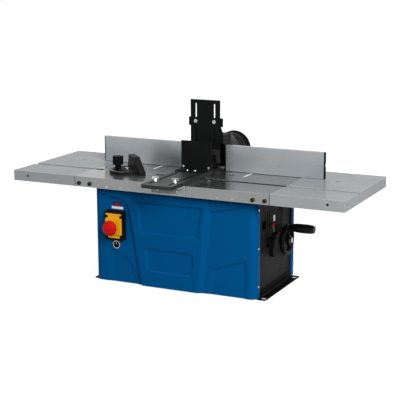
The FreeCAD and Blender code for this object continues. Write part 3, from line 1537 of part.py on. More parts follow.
def tee_bolt(index, centre):
    """A T-bolt whose head lies in the board's chamber, with its nut behind the carrier."""
    x, z = centre
    name = f"tee_bolt{index}"
    head_half = S.tee_head / 2
    head = box(name + "_head", (x - head_half, x + head_half),
               (chamber_front + S.slide_gap, neck_front - S.slide_gap), (z - head_half, z + head_half))
    nut_end = wall_back + S.tee_nut_height
    shank = cylinder(name + "_shank", S.tee_bolt_radius, "Y", (neck_front - S.slide_gap, nut_end), centre)
    nut = prism(name + "_nut", HEX_SIDES, S.tee_nut_radius, "Y", (wall_back, nut_end), centre)
    return fuse(name, [head, shank, nut])


tee_bolts = [tee_bolt(index, centre) for index, centre in enumerate(tee_places)]
knob_low = flange_top + S.slide_gap
knob_top = knob_low + S.knob_neck_height + S.knob_height
clamp_head_z = (plate_low - S.slide_gap - S.clamp_head_height, plate_low - S.slide_gap)
clamp_bolts = []
for index, (x, y) in enumerate(clamp_places):
    head_half = S.clamp_head / 2
    clamp_bolts.append(fuse(f"clamp_bolt{index}", [
        box(f"clamp_head{index}", (x - head_half, x + head_half), (y - head_half, y + head_half),
            clamp_head_z),
        cylinder(f"clamp_shank{index}", S.clamp_bolt_radius, "Z",
                 (clamp_head_z[1], knob_top - S.knob_lobe_radius - S.slide_gap), (x, y)),
    ]))
node("fence_bolts", group("fence_bolts", tee_bolts + clamp_bolts))
for label, centre in zip(("left_clamp_knob", "right_clamp_knob"), clamp_places):
    grip_z = (knob_low + S.knob_neck_height, knob_top)
    star = lobed_knob(label + "_star", S.knob_radius, S.knob_lobe_radius, KNOB_LOBES, grip_z, centre,
                      S.clamp_bolt_radius + S.run_gap)
    neck = cylinder(label + "_neck", S.knob_neck_radius, "Z", (knob_low, grip_z[0]), centre)
    neck_bore = cylinder(label + "_neck_bore", S.clamp_bolt_radius + S.run_gap, "Z",
                         (knob_low - S.overrun, grip_z[0] + S.overrun), centre)
    node(label, fuse(label, [star, cut(label + "_neck_bored", neck, [neck_bore])]))


def channel(x, low, high, wall):
    """Section of an upside-down channel across Y."""
    left, right = x
    return [(left, low), (left, high), (right, high), (right, low), (right - wall, low),
            (right - wall, high - wall), (left + wall, high - wall), (left + wall, low)]


bar_front = S.fence_y - S.bar_thickness / 2
bar_back = bar_front + S.bar_thickness
brow_low = fence_high + S.bar_thickness
hood_x = (-S.hood_left, S.hood_right)
hood_section = channel(hood_x, flange_top, S.hood_top, S.hood_wall)
hood_box = extrude("hood_box", "Y", hood_section, wall_front, S.hood_back)
brow_section = channel(hood_x, brow_low, S.hood_top, S.hood_wall)
hood_brow = extrude("hood_brow", "Y", brow_section, bar_back, wall_front)
hood_end = extrude("hood_end", "Y", [
    (-S.hood_left, flange_top), (-S.hood_left, S.hood_top),
    (S.hood_right, S.hood_top), (S.hood_right, flange_top),
    (S.outlet_half_width, flange_top), (S.outlet_half_width, S.outlet_top),
    (-S.outlet_half_width, S.outlet_top), (-S.outlet_half_width, flange_top),
], S.hood_back - S.hood_wall, S.hood_back)
hood_neck = extrude("hood_neck", "Y", [
    (-S.hood_left, brow_low),
    (-S.hood_left, S.hood_neck_z),
    (-S.bar_half_width, S.hood_neck_z),
    (-S.bar_half_width, S.bar_top),
    (S.bar_half_width, S.bar_top),
    (S.bar_half_width, S.hood_neck_z),
    (S.hood_neck_half_width, S.hood_neck_z),
    (S.hood_right, S.hood_top),
    (S.hood_right, brow_low),
], bar_front, bar_back)
guard_screw_places = [(side * S.guard_slot_x, S.guard_screw_z) for side in MIRRORED]
guard_back = bar_front - S.slide_gap
guard_front = guard_back - S.guard_thickness
screw_span = S.guard_thickness + 2 * S.slide_gap + S.bar_thickness
guard_shank = (S.screw_radius, screw_span)
bar_through = (bar_front - S.overrun, bar_back + S.overrun)
node("hood", cut("hood", fuse("hood_blank", [hood_box, hood_brow, hood_end, hood_neck]), [
    cylinder(f"guard_screw_hole{index}", S.screw_radius, "Y", bar_through, centre)
    for index, centre in enumerate(guard_screw_places)
]))
node("guard_screws", group("guard_screws", [
    bolt(f"guard_screw{index}", "Y", -1, guard_front - S.slide_gap, centre,
         (S.guard_screw_head_radius, S.guard_screw_head_height), guard_shank)
    for index, centre in enumerate(guard_screw_places)
]))
guard_outline = rectangle((-S.guard_half_width, S.guard_half_width), (S.guard_low, S.guard_high))
guard = extrude("guard_plate", "Y", guard_outline, guard_front, guard_back)
for side in MIRRORED:
    x = side * S.guard_slot_x
    pocket(guard, "Y", rectangle((x - S.guard_slot_width / 2, x + S.guard_slot_width / 2),
                                 (S.guard_slot_low, S.guard_slot_high)),
           guard_front - S.overrun, guard_back + S.overrun)
node("guard_plate", guard)


def rectangle_wire(y, left, right, low, high):
    corners = [(right, low), (right, high), (left, high), (left, low)]
    points = [FreeCAD.Vector(x, y, z) for x, z in corners]
    return Part.Wire([Part.LineSegment(points[index - 1], points[index]).toShape() for index in range(4)])


def circle_wire(y, radius, z):
    """A circle across Y in four arcs whose ends face a rectangle's corners."""
    def point(turn):
        angle = math.radians(turn)
        return FreeCAD.Vector(radius * math.cos(angle), y, z + radius * math.sin(angle))

    starts = (-135, -45, 45, 135)
    return Part.Wire([Part.Arc(point(turn), point(turn + 45), point(turn + 90)).toShape() for turn in starts])


def duct(grow):
    """Transition from the hood's mouth to the round port, drawn in by grow on every side."""
    mouth = rectangle_wire(S.hood_back.value, grow - S.hood_left.value, S.hood_right.value - grow,
                           flange_top.value, S.hood_top.value - grow)
    end = circle_wire(S.port_y.value, S.port_radius.value - grow, S.port_z.value)
    return Part.makeLoft([mouth, end], True, True)


port_radius = S.port_radius.value
table_clear = Part.makeBox(
    S.table_length.value, S.port_y.value, flange_top.value,
    FreeCAD.Vector(-half_length.value, -S.slide_gap.value, 0),
)
port_axis = FreeCAD.Vector(0, 1, 0)
port_root = FreeCAD.Vector(0, S.port_y.value, S.port_z.value)
port_length = S.port_end.value - S.port_y.value
port_tube = Part.makeCylinder(port_radius, port_length, port_root, port_axis)
rim_root = FreeCAD.Vector(0, S.port_end.value - S.port_rim_width.value, S.port_z.value)
port_rim = Part.makeCylinder(port_radius + S.port_rim.value, S.port_rim_width.value, rim_root, port_axis)
port_bore_radius = port_radius - S.port_wall.value
port_bore = Part.makeCylinder(port_bore_radius, port_length + S.overrun.value, port_root, port_axis)
dust_port = doc.addObject("Part::Feature", "dust_port")
duct_shell = duct(0).cut(duct(S.hood_wall.value + S.run_gap.value)).cut(table_clear)
dust_port.Shape = duct_shell.fuse(port_tube.fuse(port_rim).cut(port_bore)).removeSplitter()
node("dust_port", dust_port)

# Pressure shoe

lip_low = top + S.slide_gap * 2
arm_top = lip_low + S.shoe_arm_rise + S.shoe_metal
arm_under = arm_top - S.shoe_metal
shoe_back = -S.shoe_metal - S.slide_gap
shoe_outline = rectangle((-S.shoe_half_width, S.shoe_half_width), (-S.shoe_front, shoe_back))
shoe_arm = extrude("shoe_arm", "Z", shoe_outline, lip_low, arm_top)


def front_corner(edge):
    return runs_along(edge, "Z") and edge.CenterOfMass.y < -half_depth.value


round_edges(shoe_arm, S.shoe_corner_radius, front_corner)
inner_half = S.shoe_half_width - S.shoe_metal
tray_outline = rectangle((-inner_half, inner_half), (S.shoe_metal - S.shoe_front, shoe_back + S.overrun))
pocket(shoe_arm, "Z", tray_outline, lip_low - S.overrun, arm_under)
for side in MIRRORED:
    x = side * S.shoe_slot_x
    pocket(shoe_arm, "Z", rectangle((x - S.shoe_slot_width / 2, x + S.shoe_slot_width / 2),
                                    (-S.shoe_slot_front, -S.shoe_slot_back)), arm_under, arm_top + S.overrun)
node("shoe_arm", shoe_arm)

foot_top = arm_top + S.shoe_metal
shoe_section = [
    (0, lip_low), (0, S.shoe_plate_top), (-S.shoe_metal, S.shoe_plate_top), (-S.shoe_metal, foot_top),
    (-S.shoe_foot_depth, foot_top), (-S.shoe_foot_depth, arm_top), (-S.shoe_metal, arm_top),
    (-S.shoe_metal, lip_low),
]
shoe_angle = extrude("shoe_angle", "X", shoe_section, -S.shoe_half_width, S.shoe_half_width)
shoe_shank = (S.screw_radius, S.shoe_metal)
shoe_bolt_rows = []
for side in MIRRORED:
    shoe_bolt_rows.append(("Y", -S.shoe_metal, (side * S.shoe_bolt_outer_x, arm_top + S.shoe_bolt_rise), -1))
    shoe_bolt_rows.append(("Z", foot_top, (side * S.shoe_bolt_inner_x, -S.shoe_bolt_back), 1))
shoe_bolt_head = (S.screw_head_radius, S.screw_head_height)
shoe_holes = [
    cylinder(f"shoe_hole{index}", S.screw_radius, axis, sided(axis, -sign, seat, S.shoe_metal), centre)
    for index, (axis, seat, centre, sign) in enumerate(shoe_bolt_rows)
]
node("shoe_plate", cut("shoe_plate", shoe_angle, shoe_holes))
node("shoe_bolts", group("shoe_bolts", [
    bolt(f"shoe_bolt{index}", axis, sign, seat, centre, shoe_bolt_head, shoe_shank)
    for index, (axis, seat, centre, sign) in enumerate(shoe_bolt_rows)
]))

bracket_half = S.shoe_bracket_half_width
bracket_face = -half_depth
shelf_top = top
shelf_low = shelf_top - S.shoe_metal
shelf_front = bracket_face - S.shoe_bracket_reach
shoe_bolt_places = [(side * S.shoe_slot_x, S.shoe_bolt_y) for side in MIRRORED]
boss_top = arm_under - S.slide_gap
bracket_blank = fuse("shoe_bracket_blank", [
    box("bracket_leg", (-bracket_half, bracket_half), (bracket_face - S.shoe_metal, bracket_face),
        (shelf_top - S.shoe_bracket_leg, shelf_top)),
    box("bracket_shelf", (-bracket_half, bracket_half), (shelf_front, bracket_face), (shelf_low, shelf_top)),
] + [
    cylinder(f"bracket_boss{index}", S.shoe_boss_radius, "Z", (shelf_low, boss_top), centre)
    for index, centre in enumerate(shoe_bolt_places)
])
stud_low = shelf_low - S.shoe_metal
node("shoe_bracket", cut("shoe_bracket", bracket_blank, [
    bolt_hole(f"bracket_screw_hole{index}", "Y", -1, bracket_face - S.shoe_metal, centre, screw_shank)
    for index, centre in enumerate(bracket_screw_places)
] + [
    cylinder(f"bracket_thread{index}", S.wing_stud_radius + S.run_gap, "Z",
             (stud_low - S.overrun, boss_top + S.overrun), centre)
    for index, centre in enumerate(shoe_bolt_places)
]))
cover_screws += [
    bolt(f"bracket_screw{index}", "Y", -1, bracket_face - S.shoe_metal, centre, screw_head, screw_shank)
    for index, centre in enumerate(bracket_screw_places)
]
node("cover_screws", group("cover_screws", cover_screws))

wing_seat = arm_top + S.slide_gap
for label, (x, y) in zip(("left_wing_bolt", "right_wing_bolt"), shoe_bolt_places):
    wing_low = wing_seat + S.wing_hub_height / 2
    node(label, fuse(label, [
        cylinder(label + "_stud", S.wing_stud_radius, "Z", (stud_low, wing_seat), (x, y)),
        cone(label + "_hub", (S.wing_hub_radius, S.wing_stud_radius), "Z",
             (wing_seat, wing_seat + S.wing_hub_height), (x, y)),
        box(label + "_wings", (x - S.wing_span / 2, x + S.wing_span / 2),
            (y - S.wing_thickness / 2, y + S.wing_thickness / 2), (wing_low, wing_seat + S.wing_rise)),
    ]))

# Mitre gauge, its head turned to the mitre angle at rest

pivot = (S.mitre_x, S.mitre_slot_y)
stud = (S.mitre_x - S.mitre_stud_reach, S.mitre_slot_y)
bar_top = top - S.slide_gap
bar_y = (slot_front + S.slide_gap, slot_back - S.slide_gap)
bar_z = (slot_low + S.slide_gap, bar_top)
pivot_depth = S.mitre_slot_depth / 2
bar_blank = box("mitre_bar_blank", (S.mitre_bar_left, S.mitre_bar_right), bar_y, bar_z)
node("mitre_bar", cut("mitre_bar", bar_blank, [
    cylinder("bar_pivot_bore", S.mitre_pivot_radius, "Z", (bar_top - pivot_depth, bar_top + S.overrun),
             pivot),
    cylinder("bar_stud_bore", S.mitre_stud_radius + S.run_gap, "Z",
             (bar_top - pivot_depth, bar_top + S.overrun), stud),
]))

disc_low = top + S.slide_gap
disc_top = disc_low + S.mitre_disc_thickness
head_turn = FreeCAD.Rotation(FreeCAD.Vector(0, 0, 1), S.mitre_angle.value)


def turned_with_head(thing, x, y, z):
    """Place a piece of the head that is drawn square to the bar about the pivot."""
    offset = head_turn.multVec(FreeCAD.Vector(size(x).value, size(y).value, 0))
    thing.Placement.Rotation = head_turn
    place(thing, pivot[0] + offset.x / S.mitre_disc_radius.value * S.mitre_disc_radius,
          pivot[1] + offset.y / S.mitre_disc_radius.value * S.mitre_disc_radius, z)
    return thing


face_section = [
    (-S.mitre_face_front, disc_low), (S.mitre_face_back, disc_low),
    (S.mitre_face_back, disc_top), (S.mitre_face_top_back, disc_low + S.mitre_face_height),
    (-S.mitre_face_top_front, disc_low + S.mitre_face_height), (-S.mitre_face_front, disc_top),
]
mitre_face = extrude("mitre_face", "X", face_section, S.mitre_face_offset - S.mitre_face_thickness,
                     S.mitre_face_offset)
mitre_face.Placement.Rotation = head_turn
place(mitre_face, pivot[0], pivot[1], 0)
disc = cylinder("mitre_disc", S.mitre_disc_radius, "Z", (disc_low, disc_top), pivot)
trim = doc.addObject("Part::Box", "mitre_disc_trim")
bind(trim, "Length", S.mitre_disc_radius)
bind(trim, "Width", 2 * S.mitre_disc_radius)
bind(trim, "Height", S.mitre_disc_thickness + 2 * S.overrun)
turned_with_head(trim, S.mitre_face_offset, -S.mitre_disc_radius, disc_low - S.overrun)
slot_reach = S.mitre_stud_radius + S.overrun
stud_room = math.degrees(math.asin(slot_reach.value / S.mitre_stud_reach.value))
arc_slot_outer = cylinder("arc_slot_outer", S.mitre_stud_reach + slot_reach, "Z",
                          (disc_low - S.overrun, disc_top + S.overrun), pivot)
arc_slot_outer.Angle = 2 * (S.mitre_swing.value + stud_room)
arc_start = 180 - S.mitre_swing.value - stud_room + S.mitre_angle.value
arc_slot_outer.Placement.Rotation = FreeCAD.Rotation(FreeCAD.Vector(0, 0, 1), arc_start)
arc_slot_inner = cylinder("arc_slot_inner", S.mitre_stud_reach - slot_reach, "Z",
                          (disc_low - S.overrun, disc_top + S.overrun), pivot)
pivot_bore = cylinder("head_pivot_bore", S.mitre_pivot_radius + S.run_gap, "Z",
                      (disc_low - S.overrun, disc_top + S.overrun), pivot)
head_blank = fuse("mitre_head_blank", [cut("mitre_disc_cut", disc, [trim]), mitre_face])
node("mitre_head", cut("mitre_head", head_blank, [
    cut("arc_slot", arc_slot_outer, [arc_slot_inner]), pivot_bore,
]))
pivot_seat = disc_top + S.slide_gap
node("mitre_pivot", fuse("mitre_pivot", [
    cylinder("pivot_stem", S.mitre_pivot_radius, "Z", (bar_top - pivot_depth, pivot_seat), pivot),
    cylinder("pivot_head", S.mitre_pivot_head_radius, "Z",
             (pivot_seat, pivot_seat + S.mitre_pivot_head_height), pivot),
]))
mitre_knob_z = (top + S.mitre_knob_low, top + S.mitre_knob_low + S.mitre_knob_height)
mitre_knob_stud = cylinder("mitre_knob_stud", S.mitre_stud_radius, "Z",
                           (bar_top - pivot_depth, mitre_knob_z[1] - S.mitre_knob_lobe_radius), stud)
mitre_collar = cylinder("mitre_knob_collar", S.mitre_collar_radius, "Z",
                        (disc_top + S.slide_gap, mitre_knob_z[0]), stud)
node("mitre_knob", fuse("mitre_knob", [
    lobed_knob("mitre_knob_star", S.mitre_knob_radius, S.mitre_knob_lobe_radius, MITRE_KNOB_LOBES,
               mitre_knob_z, stud, S.mitre_stud_radius),
    mitre_knob_stud, mitre_collar,
]))

# Check every object, then write one file for each sub-part

doc.recompute()
for thing in doc.Objects:
    if "Invalid" in thing.State or "Error" in thing.State:
        raise ValueError(f"{thing.Label} failed: {thing.State}")
for thing in NODES:
    if thing.Shape.isNull() or not thing.Shape.isValid() or not thing.Shape.Solids:
        raise ValueError(f"{thing.Label} has no valid solid")
os.makedirs("parts", exist_ok=True)
for thing in NODES:
    thing.Shape.exportStep(f"parts/{thing.Label}.step")
print(len(NODES), "sub-parts written")
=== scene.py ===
"""Looks of the bench spindle moulder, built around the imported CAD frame. Metres, row frame."""

import json
import math

import bmesh
import bpy
from mathutils import Matrix, Vector

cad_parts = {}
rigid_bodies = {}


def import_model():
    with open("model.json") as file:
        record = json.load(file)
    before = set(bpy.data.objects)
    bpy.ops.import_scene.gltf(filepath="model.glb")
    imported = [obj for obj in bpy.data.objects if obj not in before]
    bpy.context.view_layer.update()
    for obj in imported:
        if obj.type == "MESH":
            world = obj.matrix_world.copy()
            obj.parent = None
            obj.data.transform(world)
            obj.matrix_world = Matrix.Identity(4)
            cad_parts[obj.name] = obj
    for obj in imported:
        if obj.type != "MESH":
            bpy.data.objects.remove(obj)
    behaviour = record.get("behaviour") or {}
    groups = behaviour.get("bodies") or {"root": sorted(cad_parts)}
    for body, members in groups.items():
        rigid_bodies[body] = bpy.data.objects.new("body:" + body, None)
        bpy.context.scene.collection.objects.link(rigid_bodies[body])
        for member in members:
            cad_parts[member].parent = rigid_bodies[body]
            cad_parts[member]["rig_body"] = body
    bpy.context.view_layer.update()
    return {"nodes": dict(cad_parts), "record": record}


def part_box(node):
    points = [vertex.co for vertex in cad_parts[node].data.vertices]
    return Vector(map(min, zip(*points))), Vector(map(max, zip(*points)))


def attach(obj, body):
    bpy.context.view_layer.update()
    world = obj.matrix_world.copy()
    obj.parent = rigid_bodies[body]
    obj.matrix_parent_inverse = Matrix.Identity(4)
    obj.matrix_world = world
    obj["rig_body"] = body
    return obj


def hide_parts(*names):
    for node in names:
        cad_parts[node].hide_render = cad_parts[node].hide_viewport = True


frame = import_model()
nodes = frame["nodes"]
body_of_node = {name: nodes[name]["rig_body"] for name in nodes}
slot_of_node = {row["node"]: row["material_slot"] for row in frame["record"]["subparts"]}

MM = 0.001


# Materials

def linear(red, green, blue):
    """Scene colour of an sRGB colour given in 0 to 255."""
    def channel(value):
        share = value / 255
        return share / 12.92 if share <= 0.04045 else ((share + 0.055) / 1.055) ** 2.4
    return (channel(red), channel(green), channel(blue), 1.0)


BEVEL_SAMPLES = 6


class Shader:
    """A material under construction: its nodes, its links and its Principled shader."""

    def __init__(self, name):
        self.material = bpy.data.materials.new(name)
        self.material.use_nodes = True
        self.tree = self.material.node_tree
        self.principled = self.tree.nodes["Principled BSDF"]
        self.place = self.node("ShaderNodeTexCoord").outputs["Object"]

    def node(self, kind, **settings):
        made = self.tree.nodes.new(kind)
        for key, value in settings.items():
            setattr(made, key, value)
        return made

    def link(self, source, target):
        self.tree.links.new(source, target)

    def stretched(self, scale):
        """The place in the object, scaled along each axis so that a texture runs in streaks."""
        mapping = self.node("ShaderNodeMapping")
        mapping.inputs["Scale"].default_value = scale
        self.link(self.place, mapping.inputs["Vector"])
        return mapping.outputs["Vector"]

    def noise(self, scale, detail=3.0, roughness=0.55, vector=None):
        texture = self.node("ShaderNodeTexNoise")
        texture.inputs["Scale"].default_value = scale
        texture.inputs["Detail"].default_value = detail
        texture.inputs["Roughness"].default_value = roughness
        self.link(vector or self.place, texture.inputs["Vector"])
        return texture.outputs["Fac"]

    def spread(self, value, low, high, start=0.3, end=0.7):
        """Maps a texture's middle range to low and high."""
        ranged = self.node("ShaderNodeMapRange")
        ranged.inputs["From Min"].default_value = start
        ranged.inputs["From Max"].default_value = end
        ranged.inputs["To Min"].default_value = low
        ranged.inputs["To Max"].default_value = high
        self.link(value, ranged.inputs["Value"])
        return ranged.outputs["Result"]

    def arithmetic(self, operation, first, second):
        made = self.node("ShaderNodeMath", operation=operation)
        for socket, value in zip(made.inputs, (first, second)):
            if isinstance(value, (int, float)):
                socket.default_value = value
            else:
                self.link(value, socket)
        return made.outputs["Value"]

    def shaded(self, colour, factor):
        """A colour made lighter or darker by a factor."""
        scaled = self.node("ShaderNodeVectorMath", operation="SCALE")
        if hasattr(colour, "links"):
            self.link(colour, scaled.inputs[0])
        else:
            scaled.inputs[0].default_value = colour[:3]
        self.link(factor, scaled.inputs["Scale"])
        return scaled.outputs["Vector"]

    def mixed(self, factor, first, second):
        mix = self.node("ShaderNodeMix", data_type="RGBA")
        self.link(factor, mix.inputs["Factor"])
        for key, value in (("A", first), ("B", second)):
            socket = [entry for entry in mix.inputs if entry.name == key and entry.type == "RGBA"][0]
            if hasattr(value, "links"):
                self.link(value, socket)
            else:
                socket.default_value = value
        return [entry for entry in mix.outputs if entry.type == "RGBA"][0]

    def edge_mask(self, radius, low=0.02, high=0.12):
        """1 along the edges of the shape and 0 on its faces."""
        bevel = self.node("ShaderNodeBevel", samples=BEVEL_SAMPLES)
        bevel.inputs["Radius"].default_value = radius
        geometry = self.node("ShaderNodeNewGeometry")
        dot = self.node("ShaderNodeVectorMath", operation="DOT_PRODUCT")
        self.link(bevel.outputs["Normal"], dot.inputs[0])
        self.link(geometry.outputs["Normal"], dot.inputs[1])
        turned = self.arithmetic("SUBTRACT", 1.0, dot.outputs["Value"])
        return self.spread(turned, 0.0, 1.0, low, high)

    def bumped(self, height, strength, distance, rounded=0.0):
        bump = self.node("ShaderNodeBump")
        bump.inputs["Strength"].default_value = strength
        bump.inputs["Distance"].default_value = distance
        self.link(height, bump.inputs["Height"])
        if rounded:
            bevel = self.node("ShaderNodeBevel", samples=BEVEL_SAMPLES)
            bevel.inputs["Radius"].default_value = rounded
            self.link(bevel.outputs["Normal"], bump.inputs["Normal"])
        self.link(bump.outputs["Normal"], self.principled.inputs["Normal"])

    def constants(self, **values):
        """Sets plain values on the shader's own sockets."""
        for key, value in values.items():
            label = key.replace("_", " ").title().replace("Ior", "IOR")
            self.principled.inputs[label].default_value = value


SPECK_SHARE = 0.5
FINE_DETAIL = 2
CLOUD_DETAIL = 4

MOULDING_DRIFT_SCALE = 7
MOULDING_GLOSS_SCALE = 18
MOULDING_GLOSS = (-0.05, 0.06)
MOULDING_GRAIN_DEPTH = 0.00025

PAINT_DRIFT_SCALE = 9
PAINT_DRIFT = (0.86, 1.16)
PAINT_EDGE = 0.0009
PAINT_WEAR_SCALE = 120
PAINT_WEAR = (0.1, 0.8)
PAINT_WEAR_RANGE = (0.42, 0.68)
PAINT_GLOSS_SCALE = 30
PAINT_GLOSS = (-0.06, 0.08)
PEEL_STRENGTH = 0.14
PEEL_DEPTH = 0.0003

METAL_CLOUD_SCALE = 11
METAL_CLOUD_DETAIL = 5
METAL_STREAK_ROUGHNESS = 0.6
METAL_STREAK_GLOSS = (-0.05, 0.06)
METAL_GLOSS_SCALE = 16
METAL_GLOSS = (-0.03, 0.04)
METAL_STREAK_RELIEF = 0.0002


def about(middle, offsets):
    """The two ends of a range given by its offsets from a middle value."""
    return middle + offsets[0], middle + offsets[1]


def moulded(name, colour, roughness=0.42, grain=1500, grain_strength=0.12, rounded=0.0006, tone=0.05,
            specular=0.5):
    """Moulded plastic: fine grain, slight drift of tone and gloss, rounded edges."""
    shader = Shader(name)
    drift = shader.spread(shader.noise(MOULDING_DRIFT_SCALE, CLOUD_DETAIL), 1 - tone, 1 + tone)
    speck_tone = tone * SPECK_SHARE
    speck = shader.spread(shader.noise(grain / 2, FINE_DETAIL), 1 - speck_tone, 1 + speck_tone)
    colour_out = shader.shaded(shader.shaded(colour, drift), speck)
    shader.link(colour_out, shader.principled.inputs["Base Color"])
    gloss = shader.spread(shader.noise(MOULDING_GLOSS_SCALE), *about(roughness, MOULDING_GLOSS))
    shader.link(gloss, shader.principled.inputs["Roughness"])
    shader.bumped(shader.noise(grain, FINE_DETAIL), grain_strength, MOULDING_GRAIN_DEPTH, rounded)
    shader.constants(specular_ior_level=specular)
    return shader.material


def powder_coat(name, colour, edge_wear_highlight_colour, roughness=0.45, peel=650, rounded=0.0005, specular=0.12):
    """Powder-coated steel: orange peel, drifting gloss, and edges made lighter in patches, partly as paint
    rubbed thin and partly as a painted highlight along the edges.
    """
    shader = Shader(name)
    drift = shader.spread(shader.noise(PAINT_DRIFT_SCALE, CLOUD_DETAIL), *PAINT_DRIFT)
    painted = shader.shaded(colour, drift)
    # Edges lighter in patches: partly paint rubbed thin, partly a painted highlight along the edges.
    edges = shader.edge_mask(PAINT_EDGE)
    patches = shader.spread(shader.noise(PAINT_WEAR_SCALE, CLOUD_DETAIL), *PAINT_WEAR, *PAINT_WEAR_RANGE)
    wear_and_highlight = shader.arithmetic("MULTIPLY", edges, patches)
    shader.link(shader.mixed(wear_and_highlight, painted, edge_wear_highlight_colour), shader.principled.inputs["Base Color"])
    gloss = shader.spread(shader.noise(PAINT_GLOSS_SCALE), *about(roughness, PAINT_GLOSS))
    shader.link(gloss, shader.principled.inputs["Roughness"])
    shader.bumped(shader.noise(peel, FINE_DETAIL), PEEL_STRENGTH, PEEL_DEPTH, rounded)
    shader.constants(specular_ior_level=specular)
    return shader.material


def metal(name, colour, roughness=0.3, streak=(10, 1400, 1400), streak_depth=0.10, tone=0.06, rounded=0.0005,
          metallic=1.0, edge_wear_and_highlight=1.25, specular=0.5, edge_width=0.0008):
    """Bare metal: tool or brush streaks along one axis, cloudy tone, and edges made brighter, partly as rubbed
    metal and partly as a painted highlight.
    """
    shader = Shader(name)
    lines = shader.noise(1.0, roughness=METAL_STREAK_ROUGHNESS, vector=shader.stretched(streak))
    cloud = shader.spread(shader.noise(METAL_CLOUD_SCALE, METAL_CLOUD_DETAIL), 1 - tone, 1 + tone)
    lined = shader.spread(lines, 1 - tone, 1 + tone)
    base = shader.shaded(shader.shaded(colour, cloud), lined)
    # Edges brightened by the mask: partly rubbed metal, partly a painted highlight line along the edges.
    bright = shader.spread(shader.edge_mask(edge_width), 1.0, edge_wear_and_highlight, 0.0, 1.0)
    shader.link(shader.shaded(base, bright), shader.principled.inputs["Base Color"])
    cloudy_gloss = shader.spread(shader.noise(METAL_GLOSS_SCALE, CLOUD_DETAIL), *about(roughness, METAL_GLOSS))
    gloss = shader.arithmetic("ADD", shader.spread(lines, *METAL_STREAK_GLOSS), cloudy_gloss)
    shader.link(gloss, shader.principled.inputs["Roughness"])
    shader.bumped(lines, streak_depth, METAL_STREAK_RELIEF, rounded)
    shader.constants(metallic=metallic, specular_ior_level=specular)
    return shader.material


ALONG_X = (10, 1400, 1400)
ALONG_Z = (1400, 1400, 10)
ALL_WAYS = (500, 500, 500)
FINE_ALL_WAYS = (1400, 1400, 1400)

MATT_BLACK = powder_coat("matt_black_paint", linear(15, 16, 16), linear(62, 62, 60), roughness=0.5, peel=700,
                         specular=0.05)
SATIN_BLACK = powder_coat("satin_black_paint", linear(24, 25, 25), linear(84, 84, 82), roughness=0.40,
                          rounded=0.0006, specular=0.26)
PANEL_GREY = powder_coat("dark_grey_paint", linear(27, 28, 27), linear(86, 86, 84), roughness=0.5, specular=0.03)
FOOT_BLACK = powder_coat("foot_black_paint", linear(12, 12, 12), linear(58, 58, 56), roughness=0.5, peel=700,
                         rounded=0.0006, specular=0.02)
CASTING_BLACK = powder_coat("black_casting", linear(21, 22, 21), linear(70, 70, 68), roughness=0.42, peel=380,
                            rounded=0.0012, specular=0.05)
GLOSS_BLACK = moulded("gloss_black_moulding", linear(17, 18, 19), roughness=0.30, grain_strength=0.05,
                      rounded=0.0010, specular=0.03)
BLACK_MOULDING = moulded("black_moulding", linear(18, 19, 19), roughness=0.38, grain=1700, grain_strength=0.10,
                         rounded=0.0008, specular=0.025)
GRIP_BLACK = moulded("grip_moulding", linear(25, 26, 26), roughness=0.36, grain=1700, grain_strength=0.10,
                     rounded=0.0008, specular=0.12)
BLACK_OXIDE = metal("blackened_steel", linear(40, 39, 38), roughness=0.34, streak=ALL_WAYS, streak_depth=0.06,
                    tone=0.10, rounded=0.0004, metallic=0.8, edge_wear_and_highlight=1.5)
ZINC = metal("bright_zinc", linear(196, 197, 194), roughness=0.22, streak=ALL_WAYS, streak_depth=0.05, tone=0.05)
SCREW_STEEL = metal("screw_steel", linear(176, 177, 175), roughness=0.26, streak=ALL_WAYS, streak_depth=0.05,
                    tone=0.08)
# The wing and table finishes brighten a wide band along their edges: a painted highlight line, besides rubbed
# metal.
WING_GREY = metal("satin_aluminium", linear(150, 154, 155), roughness=0.28, streak=ALONG_X, streak_depth=0.05,
                  tone=0.04, rounded=0.0006, metallic=0.12, edge_wear_and_highlight=1.7, specular=0.03, edge_width=0.002)
TABLE_GREY = metal("ground_aluminium", linear(138, 140, 139), roughness=0.19, streak=ALONG_X, streak_depth=0.05,
                   tone=0.05, rounded=0.0006, metallic=0.9, edge_wear_and_highlight=1.6, specular=0.05, edge_width=0.002)
FENCE_GREY = metal("fence_extrusion", linear(162, 167, 171), roughness=0.32, streak=ALONG_X, streak_depth=0.08,
                   tone=0.05, metallic=0.7, specular=0.3)
LABEL_WHITE = moulded("blank_label", linear(226, 232, 244), roughness=0.4, grain=1200, grain_strength=0.04,
                      rounded=0.0003, tone=0.02, specular=0.3)
STRIP_WHITE = moulded("pale_strip", linear(226, 228, 227), roughness=0.35, grain=1200, grain_strength=0.04,
                      rounded=0.0003, tone=0.03, specular=0.3)
# Near-black finish for the joint strips: a painted shade for the gaps between the table and its wings.
JOINT_SHADE_BLACK = moulded("joint_shadow", linear(20, 20, 20), roughness=0.6, grain=1600, grain_strength=0.10,
                     rounded=0.0002, specular=0.1)
